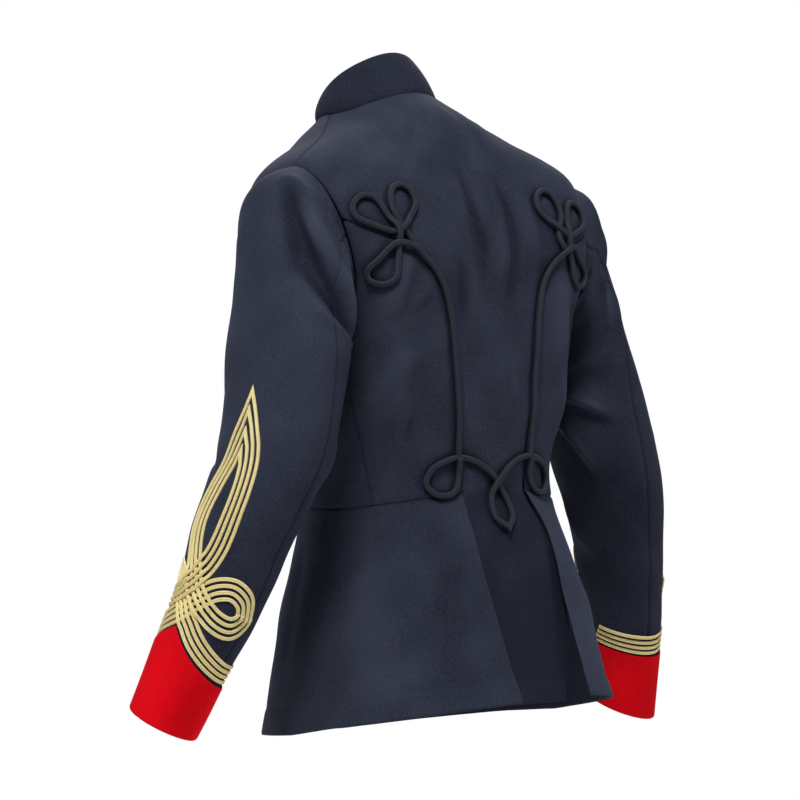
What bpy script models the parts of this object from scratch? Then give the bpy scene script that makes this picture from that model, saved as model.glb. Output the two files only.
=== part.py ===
"""Hussar officer's jacket in its worn shape, empty, every sewn piece a closed thin wall.

Metres, +Z up, the front faces -Y and the wearer's left is +X. The origin is the middle of the
neck base, where the wearer's shoulders carry the jacket.

Torso points are given by a turn in degrees (0 centre back, 90 wearer's left, 180 centre front)
and a level in metres up the cloth from the hem. Sleeve points are given by a turn round the arm
(0 outer, 90 back, 180 body side, -90 front) and a distance down from the armhole.
"""
import bpy
import numpy as np

# Cloth and trim sizes
CLOTH = 0.0022
SEAM_GAP = 0.0003
LAP = CLOTH + 2 * SEAM_GAP
TAIL_LAP = LAP + 0.0012
TAIL_SINK = 0.025
SEAM_INSET = 0.10
SLEEVE_INSET = 0.25
CUFF_GAP = 0.0007
COLLAR_CLOTH = 0.0034
CORD_RADIUS = 0.0031
CORD_SIDES = 6
CORD_LIFT = 0.0010
BRAID_WIDTH = 0.0046
BRAID_TOP = 0.0030
BRAID_THICK = 0.0014
BRAID_PITCH = 0.0066
BRAID_ROWS = 4
BRAID_CLEAR = 0.0007
BRAID_LIFT = {"left": 0.0011, "right": 0.0015}
BRAID_STRAY = 0.0009
CORD_STRAY = 0.0010

# Colours: red, green, blue, roughness, metallic
FINISHES = {
    "wool_navy": (0.021, 0.025, 0.042, 0.90, 0.0),
    "wool_scarlet": (0.640, 0.012, 0.010, 0.88, 0.0),
    "cord_black": (0.022, 0.024, 0.030, 0.80, 0.0),
    "braid_gold": (0.720, 0.550, 0.180, 0.45, 0.6),
}

# Torso rings, one row a level:
# level, back_y, back_z, side_x, side_y, side_z, front_y, front_z, back_square, front_square, arch
TORSO = np.array([
    (0.000, 0.288, -0.660, 0.199, 0.090, -0.700, -0.066, -0.722, 2.3, 2.2, 1.0),
    (0.110, 0.258, -0.556, 0.180, 0.088, -0.582, -0.052, -0.600, 2.3, 2.2, 1.2),
    (0.180, 0.232, -0.484, 0.158, 0.084, -0.507, -0.044, -0.520, 2.4, 2.2, 1.6),
    (0.235, 0.208, -0.430, 0.144, 0.080, -0.452, -0.045, -0.464, 2.5, 2.2, 2.0),
    (0.335, 0.207, -0.336, 0.152, 0.078, -0.350, -0.078, -0.362, 3.0, 2.3, 2.0),
    (0.430, 0.203, -0.243, 0.161, 0.080, -0.245, -0.100, -0.255, 4.2, 2.5, 2.0),
    (0.525, 0.193, -0.150, 0.182, 0.083, -0.152, -0.098, -0.160, 5.4, 2.7, 2.0),
    (0.610, 0.158, -0.074, 0.186, 0.086, -0.074, -0.088, -0.108, 3.5, 2.6, 2.0),
    (0.675, 0.119, -0.012, 0.130, 0.056, -0.038, -0.078, -0.064, 2.9, 2.3, 2.0),
    (0.735, 0.070, 0.020, 0.070, 0.000, -0.004, -0.070, -0.027, 2.0, 2.0, 2.0),
])
WAIST = 0.235
NECK = 0.735

# Collar top ring: back_y, back_z, side_x, side_y, side_z, front_y, front_z
COLLAR_TOP = (0.034, 0.067, 0.056, -0.022, 0.031, -0.080, -0.006)
COLLAR_BULGE = 0.003
COLLAR_END = 178.0
# Share of the collar's height left free below it, at the back and at the front over some turns
COLLAR_BASE = 0.012
COLLAR_CLEAR = 0.14
CLEAR_FROM = 145.0
CLEAR_OVER = 15.0

# Armhole: a leaning oval in turn and level, whose steps are also the rows and columns that meet it
ARMHOLE_MID = 0.523
ARMHOLE_HALF = 0.089
ARMHOLE_TURN = 83.0
ARMHOLE_BACK = 17.0
ARMHOLE_FRONT = 32.0
ARMHOLE_LEAN = 9.0
ARMHOLE_STEPS = 12
SEAM_STEP = 5
SEAM_TIP = 0.86

# Seams as turn against level
BACK_SEAM = np.array([(0.235, 21.3), (0.335, 24.0), (0.420, 27.6), (0.455, 30.2), (0.481, 34.2),
                      (0.4985, 39.6), (0.514, 46.4), (0.526, 55.0), (0.546, 68.9)])
SIDE_SEAM = np.array([(0.235, 63.0), (0.300, 66.5), (0.370, 70.5), (0.434, 74.0)])
SHOULDER_SEAM = np.array([(0.612, 92.0), (0.735, 90.0)])
TAIL_EDGE = np.array([(0.000, 11.5), (0.040, 15.5), (0.080, 21.5), (0.120, 25.5),
                      (0.190, 26.0), (0.235, 21.3)])
SKIRT_EDGE = {
    "left": np.array([(0.000, 10.4), (0.120, 16.2), (0.235, 21.3)]),
    "right": np.array([(0.000, 14.5), (0.080, 16.4), (0.120, 18.5), (0.160, 22.0),
                       (0.200, 24.0), (0.235, 21.3)]),
}
# The left front laps over the right: how far past the centre, and the turns over which it rises
FRONT_LAP = 6.0
LAP_FROM = 158.0
LAP_OVER = 12.0

# Both skirts stand away from the tail at their rear edges, the right one further
KICK = {"left": 0.006, "right": 0.022}
KICK_TURN = 34.0
KICK_CURVE = 1.3

# Torso folds: turn and level at each end, half width, height (below zero is a trough) and bow
TORSO_FOLDS = np.array([
    (12.0, 0.625, 4.0, 0.440, 0.018, -0.0040, 0.000),
    (-27.0, 0.625, -9.0, 0.430, 0.018, -0.0038, 0.000),
    (21.0, 0.500, 21.0, 0.400, 0.016, -0.0030, 0.000),
    (44.0, 0.510, 59.0, 0.395, 0.020, 0.0052, 0.006),
    (45.0, 0.412, 59.0, 0.322, 0.018, 0.0046, 0.004),
    (-42.0, 0.490, -43.0, 0.365, 0.018, 0.0042, 0.000),
    (-45.0, 0.380, -60.0, 0.300, 0.018, 0.0040, 0.004),
    (-10.0, 0.150, -3.0, -0.030, 0.018, -0.0040, 0.000),
    (34.0, 0.210, 30.0, 0.020, 0.022, -0.0030, 0.000),
    (62.0, 0.200, 60.0, 0.010, 0.026, 0.0040, 0.000),
    (103.0, 0.215, 99.0, 0.010, 0.024, -0.0050, 0.000),
    (-62.0, 0.200, -60.0, 0.010, 0.024, -0.0040, 0.000),
    (-100.0, 0.200, -98.0, 0.010, 0.024, 0.0040, 0.000),
])

# Sleeve sections down the left arm: out_x, out_z, in_x, in_z, mid_y, half_depth
SLEEVE = np.array([
    (0.181, -0.074, 0.161, -0.240, 0.082, 0.083),
    (0.208, -0.084, 0.164, -0.250, 0.084, 0.086),
    (0.224, -0.117, 0.167, -0.262, 0.090, 0.087),
    (0.236, -0.165, 0.169, -0.278, 0.096, 0.091),
    (0.252, -0.232, 0.171, -0.300, 0.101, 0.094),
    (0.275, -0.310, 0.178, -0.340, 0.113, 0.084),
    (0.297, -0.385, 0.194, -0.397, 0.119, 0.077),
    (0.322, -0.450, 0.228, -0.477, 0.108, 0.066),
    (0.344, -0.540, 0.263, -0.570, 0.090, 0.053),
    (0.359, -0.598, 0.285, -0.624, 0.071, 0.046),
    (0.375, -0.669, 0.308, -0.689, 0.047, 0.042),
])
# The right forearm hangs a little lower, outer side most: how far, its tilt, and over which length of sleeve
RIGHT_REACH = (0.005, 0.000, -0.031)
RIGHT_TILT = 0.4
RIGHT_FROM = 0.22
RIGHT_OVER = 0.40
HIND_SEAM = 75.0
FORE_SEAM = -105.0
SLEEVE_UNDER_CUFF = 0.045
CAP_FADE = 0.12
FOLDS_FROM = 0.03
CAP_ROWS = (0.0, 0.014, 0.032, 0.055)
SLEEVE_ROWS = 15

# Sleeve folds: turn and distance at each end, half width, height and bow
SLEEVE_FOLDS = {
    "left": np.array([
        (22.0, 0.045, 120.0, 0.142, 0.018, -0.0080, -0.020),
        (34.0, 0.030, 98.0, 0.090, 0.020, 0.0060, -0.006),
        (30.0, 0.105, 112.0, 0.188, 0.022, 0.0040, -0.016),
        (-60.0, 0.190, 0.0, 0.205, 0.018, -0.0035, 0.000),
        (35.0, 0.330, 115.0, 0.350, 0.020, 0.0030, 0.000),
        (104.0, 0.015, 124.0, 0.155, 0.016, 0.0070, 0.000),
        (130.0, 0.180, 215.0, 0.230, 0.018, 0.0045, 0.000),
        (120.0, 0.270, 200.0, 0.330, 0.018, 0.0045, 0.000),
    ]),
    "right": np.array([
        (182.0, 0.178, 120.0, 0.250, 0.017, 0.0055, 0.000),
        (188.0, 0.218, 145.0, 0.312, 0.017, 0.0055, 0.000),
        (214.0, 0.332, 172.0, 0.402, 0.017, 0.0045, 0.000),
        (96.0, 0.045, 110.0, 0.120, 0.016, 0.0045, 0.000),
        (36.0, 0.100, 122.0, 0.056, 0.016, -0.0085, 0.000),
        (64.0, 0.010, 54.0, 0.270, 0.042, -0.0075, 0.000),
        (165.0, 0.165, 125.0, 0.205, 0.017, -0.0045, 0.000),
    ]),
}

# Pointed cuff: height at the seam and at the point, how far round the point reaches, each one's rise
CUFF_LOW = 0.066
CUFF_POINT = 0.107
CUFF_REACH = 0.095
CUFF_CURVE = 2.2
CUFF_RISE = {"left": 0.000, "right": 0.018}
KNOT_TURN = {"left": 8.0, "right": -52.0}
KNOT_MEET = 113.0

# Half of the sleeve knot, middle of the four rows: across from the axis, up from the sleeve end
KNOT = np.array([
    (0.183, 0.0805), (0.140, 0.0805), (0.100, 0.0810), (0.066, 0.0850), (0.036, 0.0975),
    (0.010, 0.1180), (-0.012, 0.1430), (-0.030, 0.1600), (-0.049, 0.1655), (-0.066, 0.1580),
    (-0.071, 0.1430), (-0.060, 0.1305), (-0.037, 0.1310), (-0.012, 0.1460), (0.004, 0.1670),
    (0.015, 0.1950), (0.0200, 0.2320), (0.0180, 0.2740), (0.0100, 0.3140), (0.000, 0.3430),
])
TIP_CLEAR = 0.016

# Back cord. Loops: across and height of the root, heading, length and width
LOOPS = {
    "inner": (0.131, -0.1470, 118.0, 0.056, 0.030),
    "outer": (0.131, -0.1470, 43.0, 0.050, 0.030),
    "lower": (0.135, -0.1600, 293.0, 0.046, 0.0245),
}
# How far each trefoil is sewn from the tabled place
TREFOIL_SHIFT = {"left": 0.000, "right": -0.011}
# Drop-shaped loop: along and aside, in parts of its length and width
DROP = ((0.42, -0.36), (0.78, -0.50), (0.97, -0.22), (0.97, 0.22), (0.78, 0.50), (0.42, 0.36))
# Runs of the cord: across, height
CORD_END = ((0.112, -0.161), (0.118, -0.147))
STEM = ((0.116, -0.1625), (0.0985, -0.174), (0.084, -0.1885), (0.0715, -0.210), (0.064, -0.243),
        (0.060, -0.287), (0.0555, -0.340), (0.052, -0.395))
WAIST_LOOP = ((0.052, -0.395), (0.052, -0.415), (0.060, -0.433), (0.077, -0.436), (0.088, -0.424),
              (0.082, -0.406), (0.066, -0.397), (0.052, -0.394), (0.034, -0.397), (0.016, -0.407),
              (0.000, -0.421), (-0.011, -0.440), (-0.0125, -0.460), (0.000, -0.474))


def smooth(stations, values, at):
    """Cubic through the rows of a table, with slopes from each row's neighbours."""
    at = np.asarray(at, float)
    slopes = np.gradient(values, stations, axis=0)
    row = np.clip(np.searchsorted(stations, at, side="right") - 1, 0, len(stations) - 2)
    gap = stations[row + 1] - stations[row]
    t = (at - stations[row]) / gap
    t, gap = t[..., None], gap[..., None]
    return ((1 + 2 * t) * (1 - t) ** 2 * values[row] + t * (1 - t) ** 2 * gap * slopes[row]
            + t * t * (3 - 2 * t) * values[row + 1] - t * t * (1 - t) * gap * slopes[row + 1])


def ease(x):
    """Rise from 0 to 1 with level ends."""
    x = np.clip(x, 0.0, 1.0)
    return x * x * (3 - 2 * x)


def unit(vectors):
    """Vectors of length one."""
    return vectors / np.linalg.norm(vectors, axis=-1, keepdims=True)


def fold_height(table, across, along):
    """Sum of bowed folds, each a bell across its line that fades to nothing at both ends."""
    total = np.zeros(np.broadcast(across, along).shape)
    for start_a, start_b, end_a, end_b, width, height, bow in table:
        run = np.array((end_a - start_a, end_b - start_b))
        length = np.linalg.norm(run)
        t = ((across - start_a) * run[0] + (along - start_b) * run[1]) / length ** 2
        off = ((across - start_a) * run[1] - (along - start_b) * run[0]) / length
        fade = np.clip(1 - (2 * t - 1) ** 2, 0, 1)
        total += height * fade * np.exp(-((off - bow * fade) / width) ** 2)
    return total


TORSO_SPREAD = 0.16 * np.pi / 180
TORSO_CREASES = TORSO_FOLDS * (TORSO_SPREAD, 1, TORSO_SPREAD, 1, 1, 1, 1)


def torso_form(turn, level):
    """Ring of rounded-square outline at each level, before folds."""
    turn, level = np.broadcast_arrays(np.asarray(turn, float), np.asarray(level, float))
    row = np.moveaxis(smooth(TORSO[:, 0], TORSO[:, 1:], level), -1, 0)
    back_y, back_z, side_x, side_y, side_z, front_y, front_z, back_sq, front_sq, arch = row
    s, c = np.sin(np.radians(turn)), np.cos(np.radians(turn))
    depth = np.where(c >= 0, back_y - side_y, side_y - front_y)
    square = np.where(c >= 0, back_sq, front_sq)
    radius = (np.abs(s / side_x) ** square + np.abs(c / depth) ** square) ** (-1 / square)
    rise = np.where(c >= 0, back_z, front_z) - side_z
    return np.stack((radius * s, side_y + radius * c, side_z + rise * np.abs(c) ** arch), axis=-1)


def torso_normal(turn, level):
    """Outward normal of the unfolded torso."""
    around = torso_form(turn + 0.1, level) - torso_form(turn - 0.1, level)
    up = torso_form(turn, level + 0.001) - torso_form(turn, level - 0.001)
    return unit(np.cross(up, around))


def tail_drop(level):
    """The tail lies one lap inside the skirts that cover its edges."""
    return -TAIL_LAP * ease((WAIST + TAIL_SINK - level) / TAIL_SINK)


def torso(turn, level, out=0.0):
    """Torso surface with its folds, moved out along the normal."""
    level = np.asarray(level, float)
    height = fold_height(TORSO_CREASES, np.asarray(turn) * TORSO_SPREAD, level)
    return torso_form(turn, level) + torso_normal(turn, level) * (height + out)[..., None]


def collar(turn, height, out=0.0):
    """Collar wall from the neck ring to its own leaning, narrower top ring."""
    turn, height = np.broadcast_arrays(turn, height)

    def form(angle, up):
        base = torso_form(angle, np.full(angle.shape, NECK))
        s, c = np.sin(np.radians(angle)), np.cos(np.radians(angle))
        back_y, back_z, side_x, side_y, side_z, front_y, front_z = COLLAR_TOP
        depth = np.where(c >= 0, back_y - side_y, side_y - front_y)
        rise = np.where(c >= 0, back_z - side_z, front_z - side_z)
        top = np.stack((side_x * s, side_y + depth * c, side_z + rise * np.abs(c)), axis=-1)
        return base + (top - base) * up[..., None]

    around = form(turn + 0.1, height) - form(turn - 0.1, height)
    up = form(turn, height + 0.01) - form(turn, height - 0.01)
    normal = unit(np.cross(up, around))
    bulge = COLLAR_BULGE * 4 * height * (1 - height)
    return form(turn, height) + normal * (bulge + out)[..., None]


# Distance down the sleeve at each section, and the sleeve's whole length
SLEEVE_MIDDLE = np.stack(((SLEEVE[:, 0] * 2 + SLEEVE[:, 2]) / 3, SLEEVE[:, 4],
                          (SLEEVE[:, 1] * 2 + SLEEVE[:, 3]) / 3), axis=-1)
SLEEVE_AT = np.append(0.0, np.cumsum(np.linalg.norm(np.diff(SLEEVE_MIDDLE, axis=0), axis=1)))
SLEEVE_END = SLEEVE_AT[-1]
SLEEVE_SPREAD = 0.06 * np.pi / 180
SLEEVE_CREASES = {name: table * (SLEEVE_SPREAD, 1, SLEEVE_SPREAD, 1, 1, 1, 1)
                  for name, table in SLEEVE_FOLDS.items()}


def armhole(turn, shrink=0.0):
    """Armhole edge at a turn round the arm, as turn and level on the torso."""
    s, c = np.sin(np.radians(turn)), np.cos(np.radians(turn))
    reach = np.where(s >= 0, ARMHOLE_BACK, ARMHOLE_FRONT)
    turn_at = ARMHOLE_TURN + (ARMHOLE_LEAN * c - reach * s) * (1 - shrink)
    return turn_at, ARMHOLE_MID + ARMHOLE_HALF * c * (1 - shrink)


def sleeve_section(turn, down):
    """Oval section across the arm, square to its middle line."""
    row = smooth(SLEEVE_AT, SLEEVE, down)
    later = smooth(SLEEVE_AT, SLEEVE, down + 0.002)
    outer = row[..., [0, 4, 1]]
    inner = row[..., [2, 4, 3]]
    middle = (outer + inner) / 2
    run = unit((later[..., [0, 4, 1]] + later[..., [2, 4, 3]]) / 2 - middle)
    back = unit(np.array((0.0, 1.0, 0.0)) - run * run[..., 1:2]) * row[..., 5:6]
    s, c = np.sin(np.radians(turn))[..., None], np.cos(np.radians(turn))[..., None]
    return middle + (outer - inner) / 2 * c + back * s


def sleeve_form(turn, down):
    """Sleeve surface: the sections, drawn onto the armhole edge at the top."""
    turn, down = np.broadcast_arrays(np.asarray(turn, float), np.asarray(down, float))
    edge = torso(*armhole(turn, 0.006))
    start = sleeve_section(turn, np.zeros(turn.shape))
    fade = 1 - ease(down / CAP_FADE)
    return sleeve_section(turn, down) + (edge - start) * fade[..., None]


def sleeve(name, turn, down, out=0.0):
    """Sleeve surface with its own folds, moved out along the normal, in its place."""
    turn, down = np.broadcast_arrays(np.asarray(turn, float), np.asarray(down, float))
    around = sleeve_form(turn + 0.5, down) - sleeve_form(turn - 0.5, down)
    along = sleeve_form(turn, down + 0.001) - sleeve_form(turn, down)
    normal = unit(np.cross(along, around))
    wrapped = (turn + 105) % 360 - 105
    height = fold_height(SLEEVE_CREASES[name], wrapped * SLEEVE_SPREAD, down) * ease(down / FOLDS_FROM)
    points = sleeve_form(turn, down) + normal * (height + out)[..., None]
    if name == "left":
        return points
    hang = ease((down - RIGHT_FROM) / RIGHT_OVER)
    middle = smooth(SLEEVE_AT, SLEEVE[:, [0]] / 2 + SLEEVE[:, [2]] / 2, down)[..., 0]
    reach = hang[..., None] * np.array(RIGHT_REACH)
    reach[..., 2] -= hang * RIGHT_TILT * (points[..., 0] - middle)
    return (points + reach) * np.array((-1.0, 1.0, 1.0))


def girth_radius(down):
    """Mean radius of the sleeve, for turning lengths round it into turns."""
    row = smooth(SLEEVE_AT, SLEEVE, down)
    half = np.hypot(row[..., 0] - row[..., 2], row[..., 1] - row[..., 3]) / 2
    return np.sqrt((half ** 2 + row[..., 5] ** 2) / 2)


def cuff_top(turn):
    """Height of the cuff's upper edge above the sleeve end, at a turn from its point."""
    across = np.radians(np.abs((turn + 180) % 360 - 180)) * girth_radius(SLEEVE_END - 0.08)
    return CUFF_LOW + (CUFF_POINT - CUFF_LOW) * np.clip(1 - across / CUFF_REACH, 0, 1) ** CUFF_CURVE


def finish(name):
    """Material of a named finish."""
    if name in bpy.data.materials:
        return bpy.data.materials[name]
    red, green, blue, roughness, metallic = FINISHES[name]
    material = bpy.data.materials.new(name)
    material.use_nodes = True
    shader = material.node_tree.nodes["Principled BSDF"]
    shader.inputs["Base Color"].default_value = (red, green, blue, 1.0)
    shader.inputs["Roughness"].default_value = roughness
    shader.inputs["Metallic"].default_value = metallic
    material.diffuse_color = (red, green, blue, 1.0)
    return material


def add_object(name, points, faces, material):
    """One named mesh object of triangles."""
    mesh = bpy.data.meshes.new(name)
    mesh.from_pydata(points.tolist(), [], faces)
    mesh.update()
    mesh.materials.append(finish(material))
    bpy.context.scene.collection.objects.link(bpy.data.objects.new(name, mesh))


def triangles(quads, points):
    """Two triangles for each four-cornered face, split along its shorter diagonal."""
    a, b, c, d = np.array(quads).T
    first = np.linalg.norm(points[a] - points[c], axis=1) <= np.linalg.norm(points[b] - points[d], axis=1)
    halves = np.where(first, (a, b, c, a, c, d), (b, c, d, b, d, a)).T
    return halves.reshape(-1, 3).tolist()


def wall(name, outer, inner, material, closed=False, flip=False):
    """Closed wall between an outer and an inner grid, joined round its rim."""
    rows, columns = outer.shape[:2]
    count = rows * columns
    index = np.arange(count).reshape(rows, columns)
    around = np.column_stack((index, index[:, :1])) if closed else index
    a, b = around[:-1, :-1].ravel(), around[:-1, 1:].ravel()
    c, d = around[1:, 1:].ravel(), around[1:, :-1].ravel()
    quads = [*zip(a, b, c, d), *zip(d + count, c + count, b + count, a + count)]
    low, high = around[0], around[-1]
    quads += zip(low[1:], low[:-1], low[:-1] + count, low[1:] + count)
    quads += zip(high[:-1], high[1:], high[1:] + count, high[:-1] + count)
    if not closed:
        left, right = index[:, 0], index[:, -1]
        quads += zip(left[:-1], left[1:], left[1:] + count, left[:-1] + count)
        quads += zip(right[1:], right[:-1], right[:-1] + count, right[1:] + count)
    points = np.concatenate((outer.reshape(-1, 3), inner.reshape(-1, 3)))
    faces = triangles(quads, points)
    if flip:
        faces = [face[::-1] for face in faces]
    add_object(name, points, faces, material)


def sweep(name, points, normals, profile, material):
    """Closed bar along a path: the profile's across and up are set out at each point, mitred."""
    step = unit(np.diff(points, axis=0))
    before = np.concatenate((step[:1], step))
    after = np.concatenate((step, step[-1:]))
    tangent = unit(before + after)
    side = unit(np.cross(normals, tangent))
    stretch = 1 / np.clip(np.einsum("ij,ij->i", tangent, after), 0.18, 1)
    across = profile[:, 0][None, :, None] * side[:, None, :] * stretch[:, None, None]
    ring = points[:, None, :] + across + profile[:, 1][None, :, None] * normals[:, None, :]
    rows, columns = ring.shape[:2]
    index = np.arange(rows * columns).reshape(rows, columns)
    around = np.column_stack((index, index[:, :1]))
    a, b, c, d = around[:-1, :-1], around[:-1, 1:], around[1:, 1:], around[1:, :-1]
    faces = np.stack((a, b, c, a, c, d), axis=-1).reshape(-1, 3).tolist()
    faces += [index[0, [0, i + 1, i]].tolist() for i in range(1, columns - 1)]
    faces += [index[-1, [0, i, i + 1]].tolist() for i in range(1, columns - 1)]
    add_object(name, ring.reshape(-1, 3), faces, material)


def curve_through(knots, spacing):
    """Smooth flat curve through a short list of points, evenly sampled."""
    knots = np.asarray(knots, float)
    at = np.append(0.0, np.cumsum(np.sqrt(np.linalg.norm(np.diff(knots, axis=0), axis=1))))
    fine = smooth(at, knots, np.linspace(0, at[-1], 60 * len(knots)))
    run = np.append(0.0, np.cumsum(np.linalg.norm(np.diff(fine, axis=0), axis=1)))
    even = np.linspace(0, run[-1], int(run[-1] / spacing) + 1)
    return np.stack([np.interp(even, run, fine[:, k]) for k in range(fine.shape[1])], axis=-1)


def thin(points, stray, keep=()):
    """Indices of the points to keep so that no chord strays further than asked."""
    marks = sorted({0, len(points) - 1, *keep})
    chosen = set(marks)
    spans = list(zip(marks[:-1], marks[1:]))
    while spans:
        first, last = spans.pop()
        if last - first < 2:
            continue
        chord = points[last] - points[first]
        rel = points[first + 1:last] - points[first]
        t = np.clip(rel @ chord / max(chord @ chord, 1e-12), 0, 1)
        off = np.linalg.norm(rel - t[:, None] * chord, axis=1)
        worst = int(np.argmax(off))
        if off[worst] > stray:
            middle = first + 1 + worst
            chosen.add(middle)
            spans += [(first, middle), (middle, last)]
    return sorted(chosen)


def lay_over(flat, laid, reach, rise, ramp):
    """Height of a flat path over the paths laid before it: it climbs each one that it crosses."""
    need = np.zeros(len(flat))
    for other, height in laid:
        near = np.linalg.norm(flat[:, None, :] - other[None, :, :], axis=-1) < reach
        need = np.maximum(need, np.where(near, height[None, :] + rise, 0).max(axis=1))
    padded = np.pad(need, ramp, mode="edge")
    widest = np.max([padded[k:k + len(need)] for k in range(2 * ramp + 1)], axis=0)
    padded = np.pad(widest, ramp, mode="edge")
    return np.mean([padded[k:k + len(need)] for k in range(2 * ramp + 1)], axis=0)


# Levels that every torso panel shares, so that the seams meet point to point
ARM_TURNS = np.linspace(180, 0, ARMHOLE_STEPS + 1)
ARM_LEVELS = ARMHOLE_MID + ARMHOLE_HALF * np.cos(np.radians(ARM_TURNS))
BODY_LEVELS = np.linspace(WAIST, ARM_LEVELS[0], 8)
SHOULDER_LEVELS = np.linspace(ARM_LEVELS[-1], NECK, 6)
SKIRT_LEVELS = np.linspace(0.0, WAIST, 7)


def seam_turn(table, level):
    """Turn of a seam at each level."""
    return smooth(table[:, 0], table[:, 1:], level)[..., 0]


def grid(low, high, columns):
    """Turns from one edge of a panel to the other, one row a level, half a seam gap inside."""
    low, high = low + SEAM_INSET, high - SEAM_INSET
    return low[:, None] + (high - low)[:, None] * np.linspace(0, 1, columns)[None, :]


def levelled(levels):
    """Levels with half a seam gap taken off the first and last."""
    levels = np.array(levels)
    levels[0] += SEAM_GAP / 2
    levels[-1] -= SEAM_GAP / 2
    return levels[:, None]


def panel(name, turns, levels, side=1, lift=None, material="wool_navy"):
    """Torso panel on the wearer's left, or its mirror place on the right."""
    turns = turns * side
    levels = np.broadcast_to(levels, turns.shape)
    out = np.zeros(turns.shape) if lift is None else lift
    wall(name, torso(turns, levels, out), torso(turns, levels, out - CLOTH), material, flip=side > 0)


def build_torso():
    """Centre back, side bodies, fronts and skirts."""
    joint = len(ARM_TURNS) - 1 - SEAM_STEP
    arm_back, arm_front = armhole(ARM_TURNS)[0], armhole(-ARM_TURNS)[0]

    levels = np.concatenate((SKIRT_LEVELS[:-1], BODY_LEVELS[:-1], ARM_LEVELS, SHOULDER_LEVELS[1:]))
    edge = np.concatenate((seam_turn(TAIL_EDGE, SKIRT_LEVELS[:-1]), seam_turn(BACK_SEAM, BODY_LEVELS[:-1]),
                           seam_turn(BACK_SEAM, ARM_LEVELS[:joint]), arm_back[joint:],
                           seam_turn(SHOULDER_SEAM, SHOULDER_LEVELS[1:])))
    turns = grid(-edge, edge, 15)
    level_grid = levelled(levels)
    panel("back", turns, level_grid, lift=tail_drop(np.broadcast_to(level_grid, turns.shape)))

    levels = np.concatenate((BODY_LEVELS[:-1], ARM_LEVELS[:joint + 1]))
    low = seam_turn(BACK_SEAM, levels)
    high = np.concatenate((seam_turn(SIDE_SEAM, BODY_LEVELS[:-1]), arm_back[:joint + 1]))
    low[-1] = low[-2] + (arm_back[joint] - low[-2]) * SEAM_TIP
    high[-1] = high[-2] + (arm_back[joint] - high[-2]) * SEAM_TIP
    levels[-1] = levels[-2] + (levels[-1] - levels[-2]) * SEAM_TIP
    for name, side in (("left", 1), ("right", -1)):
        panel("side_body_" + name, grid(low, high, 7), levelled(levels), side)

    levels = np.concatenate((BODY_LEVELS[:-1], ARM_LEVELS, SHOULDER_LEVELS[1:]))
    low = np.concatenate((seam_turn(SIDE_SEAM, BODY_LEVELS[:-1]), arm_front,
                          seam_turn(SHOULDER_SEAM, SHOULDER_LEVELS[1:])))
    for name, side in (("left", 1), ("right", -1)):
        turns = grid(low, np.full(low.shape, 180 + FRONT_LAP), 9)
        lift = LAP * ease((turns - LAP_FROM) / LAP_OVER) if side > 0 else None
        panel("front_" + name, turns, levelled(levels), side, lift)

    for name, side in (("left", 1), ("right", -1)):
        low = seam_turn(SKIRT_EDGE[name], SKIRT_LEVELS)
        turns = grid(low, np.full(low.shape, 180 + FRONT_LAP), 17)
        near = 1 - ease((turns - low[:, None]) / KICK_TURN)
        kick = KICK[name] * near * (1 - SKIRT_LEVELS[:, None] / WAIST) ** KICK_CURVE
        lift = LAP * ease((turns - LAP_FROM) / LAP_OVER) * (side > 0) + kick
        panel("skirt_" + name, turns, levelled(SKIRT_LEVELS), side, lift)


def build_collar():
    """Stand collar, open at the centre front."""
    turns = np.linspace(-COLLAR_END, COLLAR_END, 29)[None, :]
    base = COLLAR_BASE + COLLAR_CLEAR * ease((np.abs(turns) - CLEAR_FROM) / CLEAR_OVER)
    heights = base + (1 - base) * np.linspace(0, 1, 4)[:, None]
    turns = np.broadcast_to(turns, heights.shape)
    inside = np.full(turns.shape, -COLLAR_CLOTH)
    wall("collar", collar(turns, heights, np.zeros(turns.shape)), collar(turns, heights, inside),
         "wool_navy", flip=True)


def build_sleeves():
    """Upper and under sleeves and the cuffs."""
    body = np.linspace(CAP_ROWS[-1] + 0.025, SLEEVE_END - SLEEVE_UNDER_CUFF, SLEEVE_ROWS)
    rows = np.concatenate((CAP_ROWS, body))[:, None]
    step = 180.0 / ARMHOLE_STEPS
    halves = (("upper", FORE_SEAM, HIND_SEAM), ("under", HIND_SEAM, FORE_SEAM + 360))
    for name, side in (("left", 1), ("right", -1)):
        for half, start, stop in halves:
            turns = np.arange(start, stop + step / 2, step)
            turns[0] += SLEEVE_INSET
            turns[-1] -= SLEEVE_INSET
            turns, downs = np.broadcast_arrays(turns[None, :], rows)
            outer, inner = sleeve(name, turns, downs), sleeve(name, turns, downs, -CLOTH)
            wall("sleeve_%s_%s" % (half, name), outer, inner, "wool_navy", flip=side > 0)
        turns = np.sort(np.append(np.arange(0, 360, step), KNOT_TURN[name] % 360))[None, :]
        share = np.linspace(0, 1, 4)[:, None]
        turns, share = np.broadcast_arrays(turns, share)
        downs = SLEEVE_END - (cuff_top(turns - KNOT_TURN[name]) + CUFF_RISE[name]) * (1 - share)
        outer, inner = sleeve(name, turns, downs, CUFF_GAP + CLOTH), sleeve(name, turns, downs, CUFF_GAP)
        wall("cuff_" + name, outer, inner, "wool_scarlet", closed=True, flip=side > 0)


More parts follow.
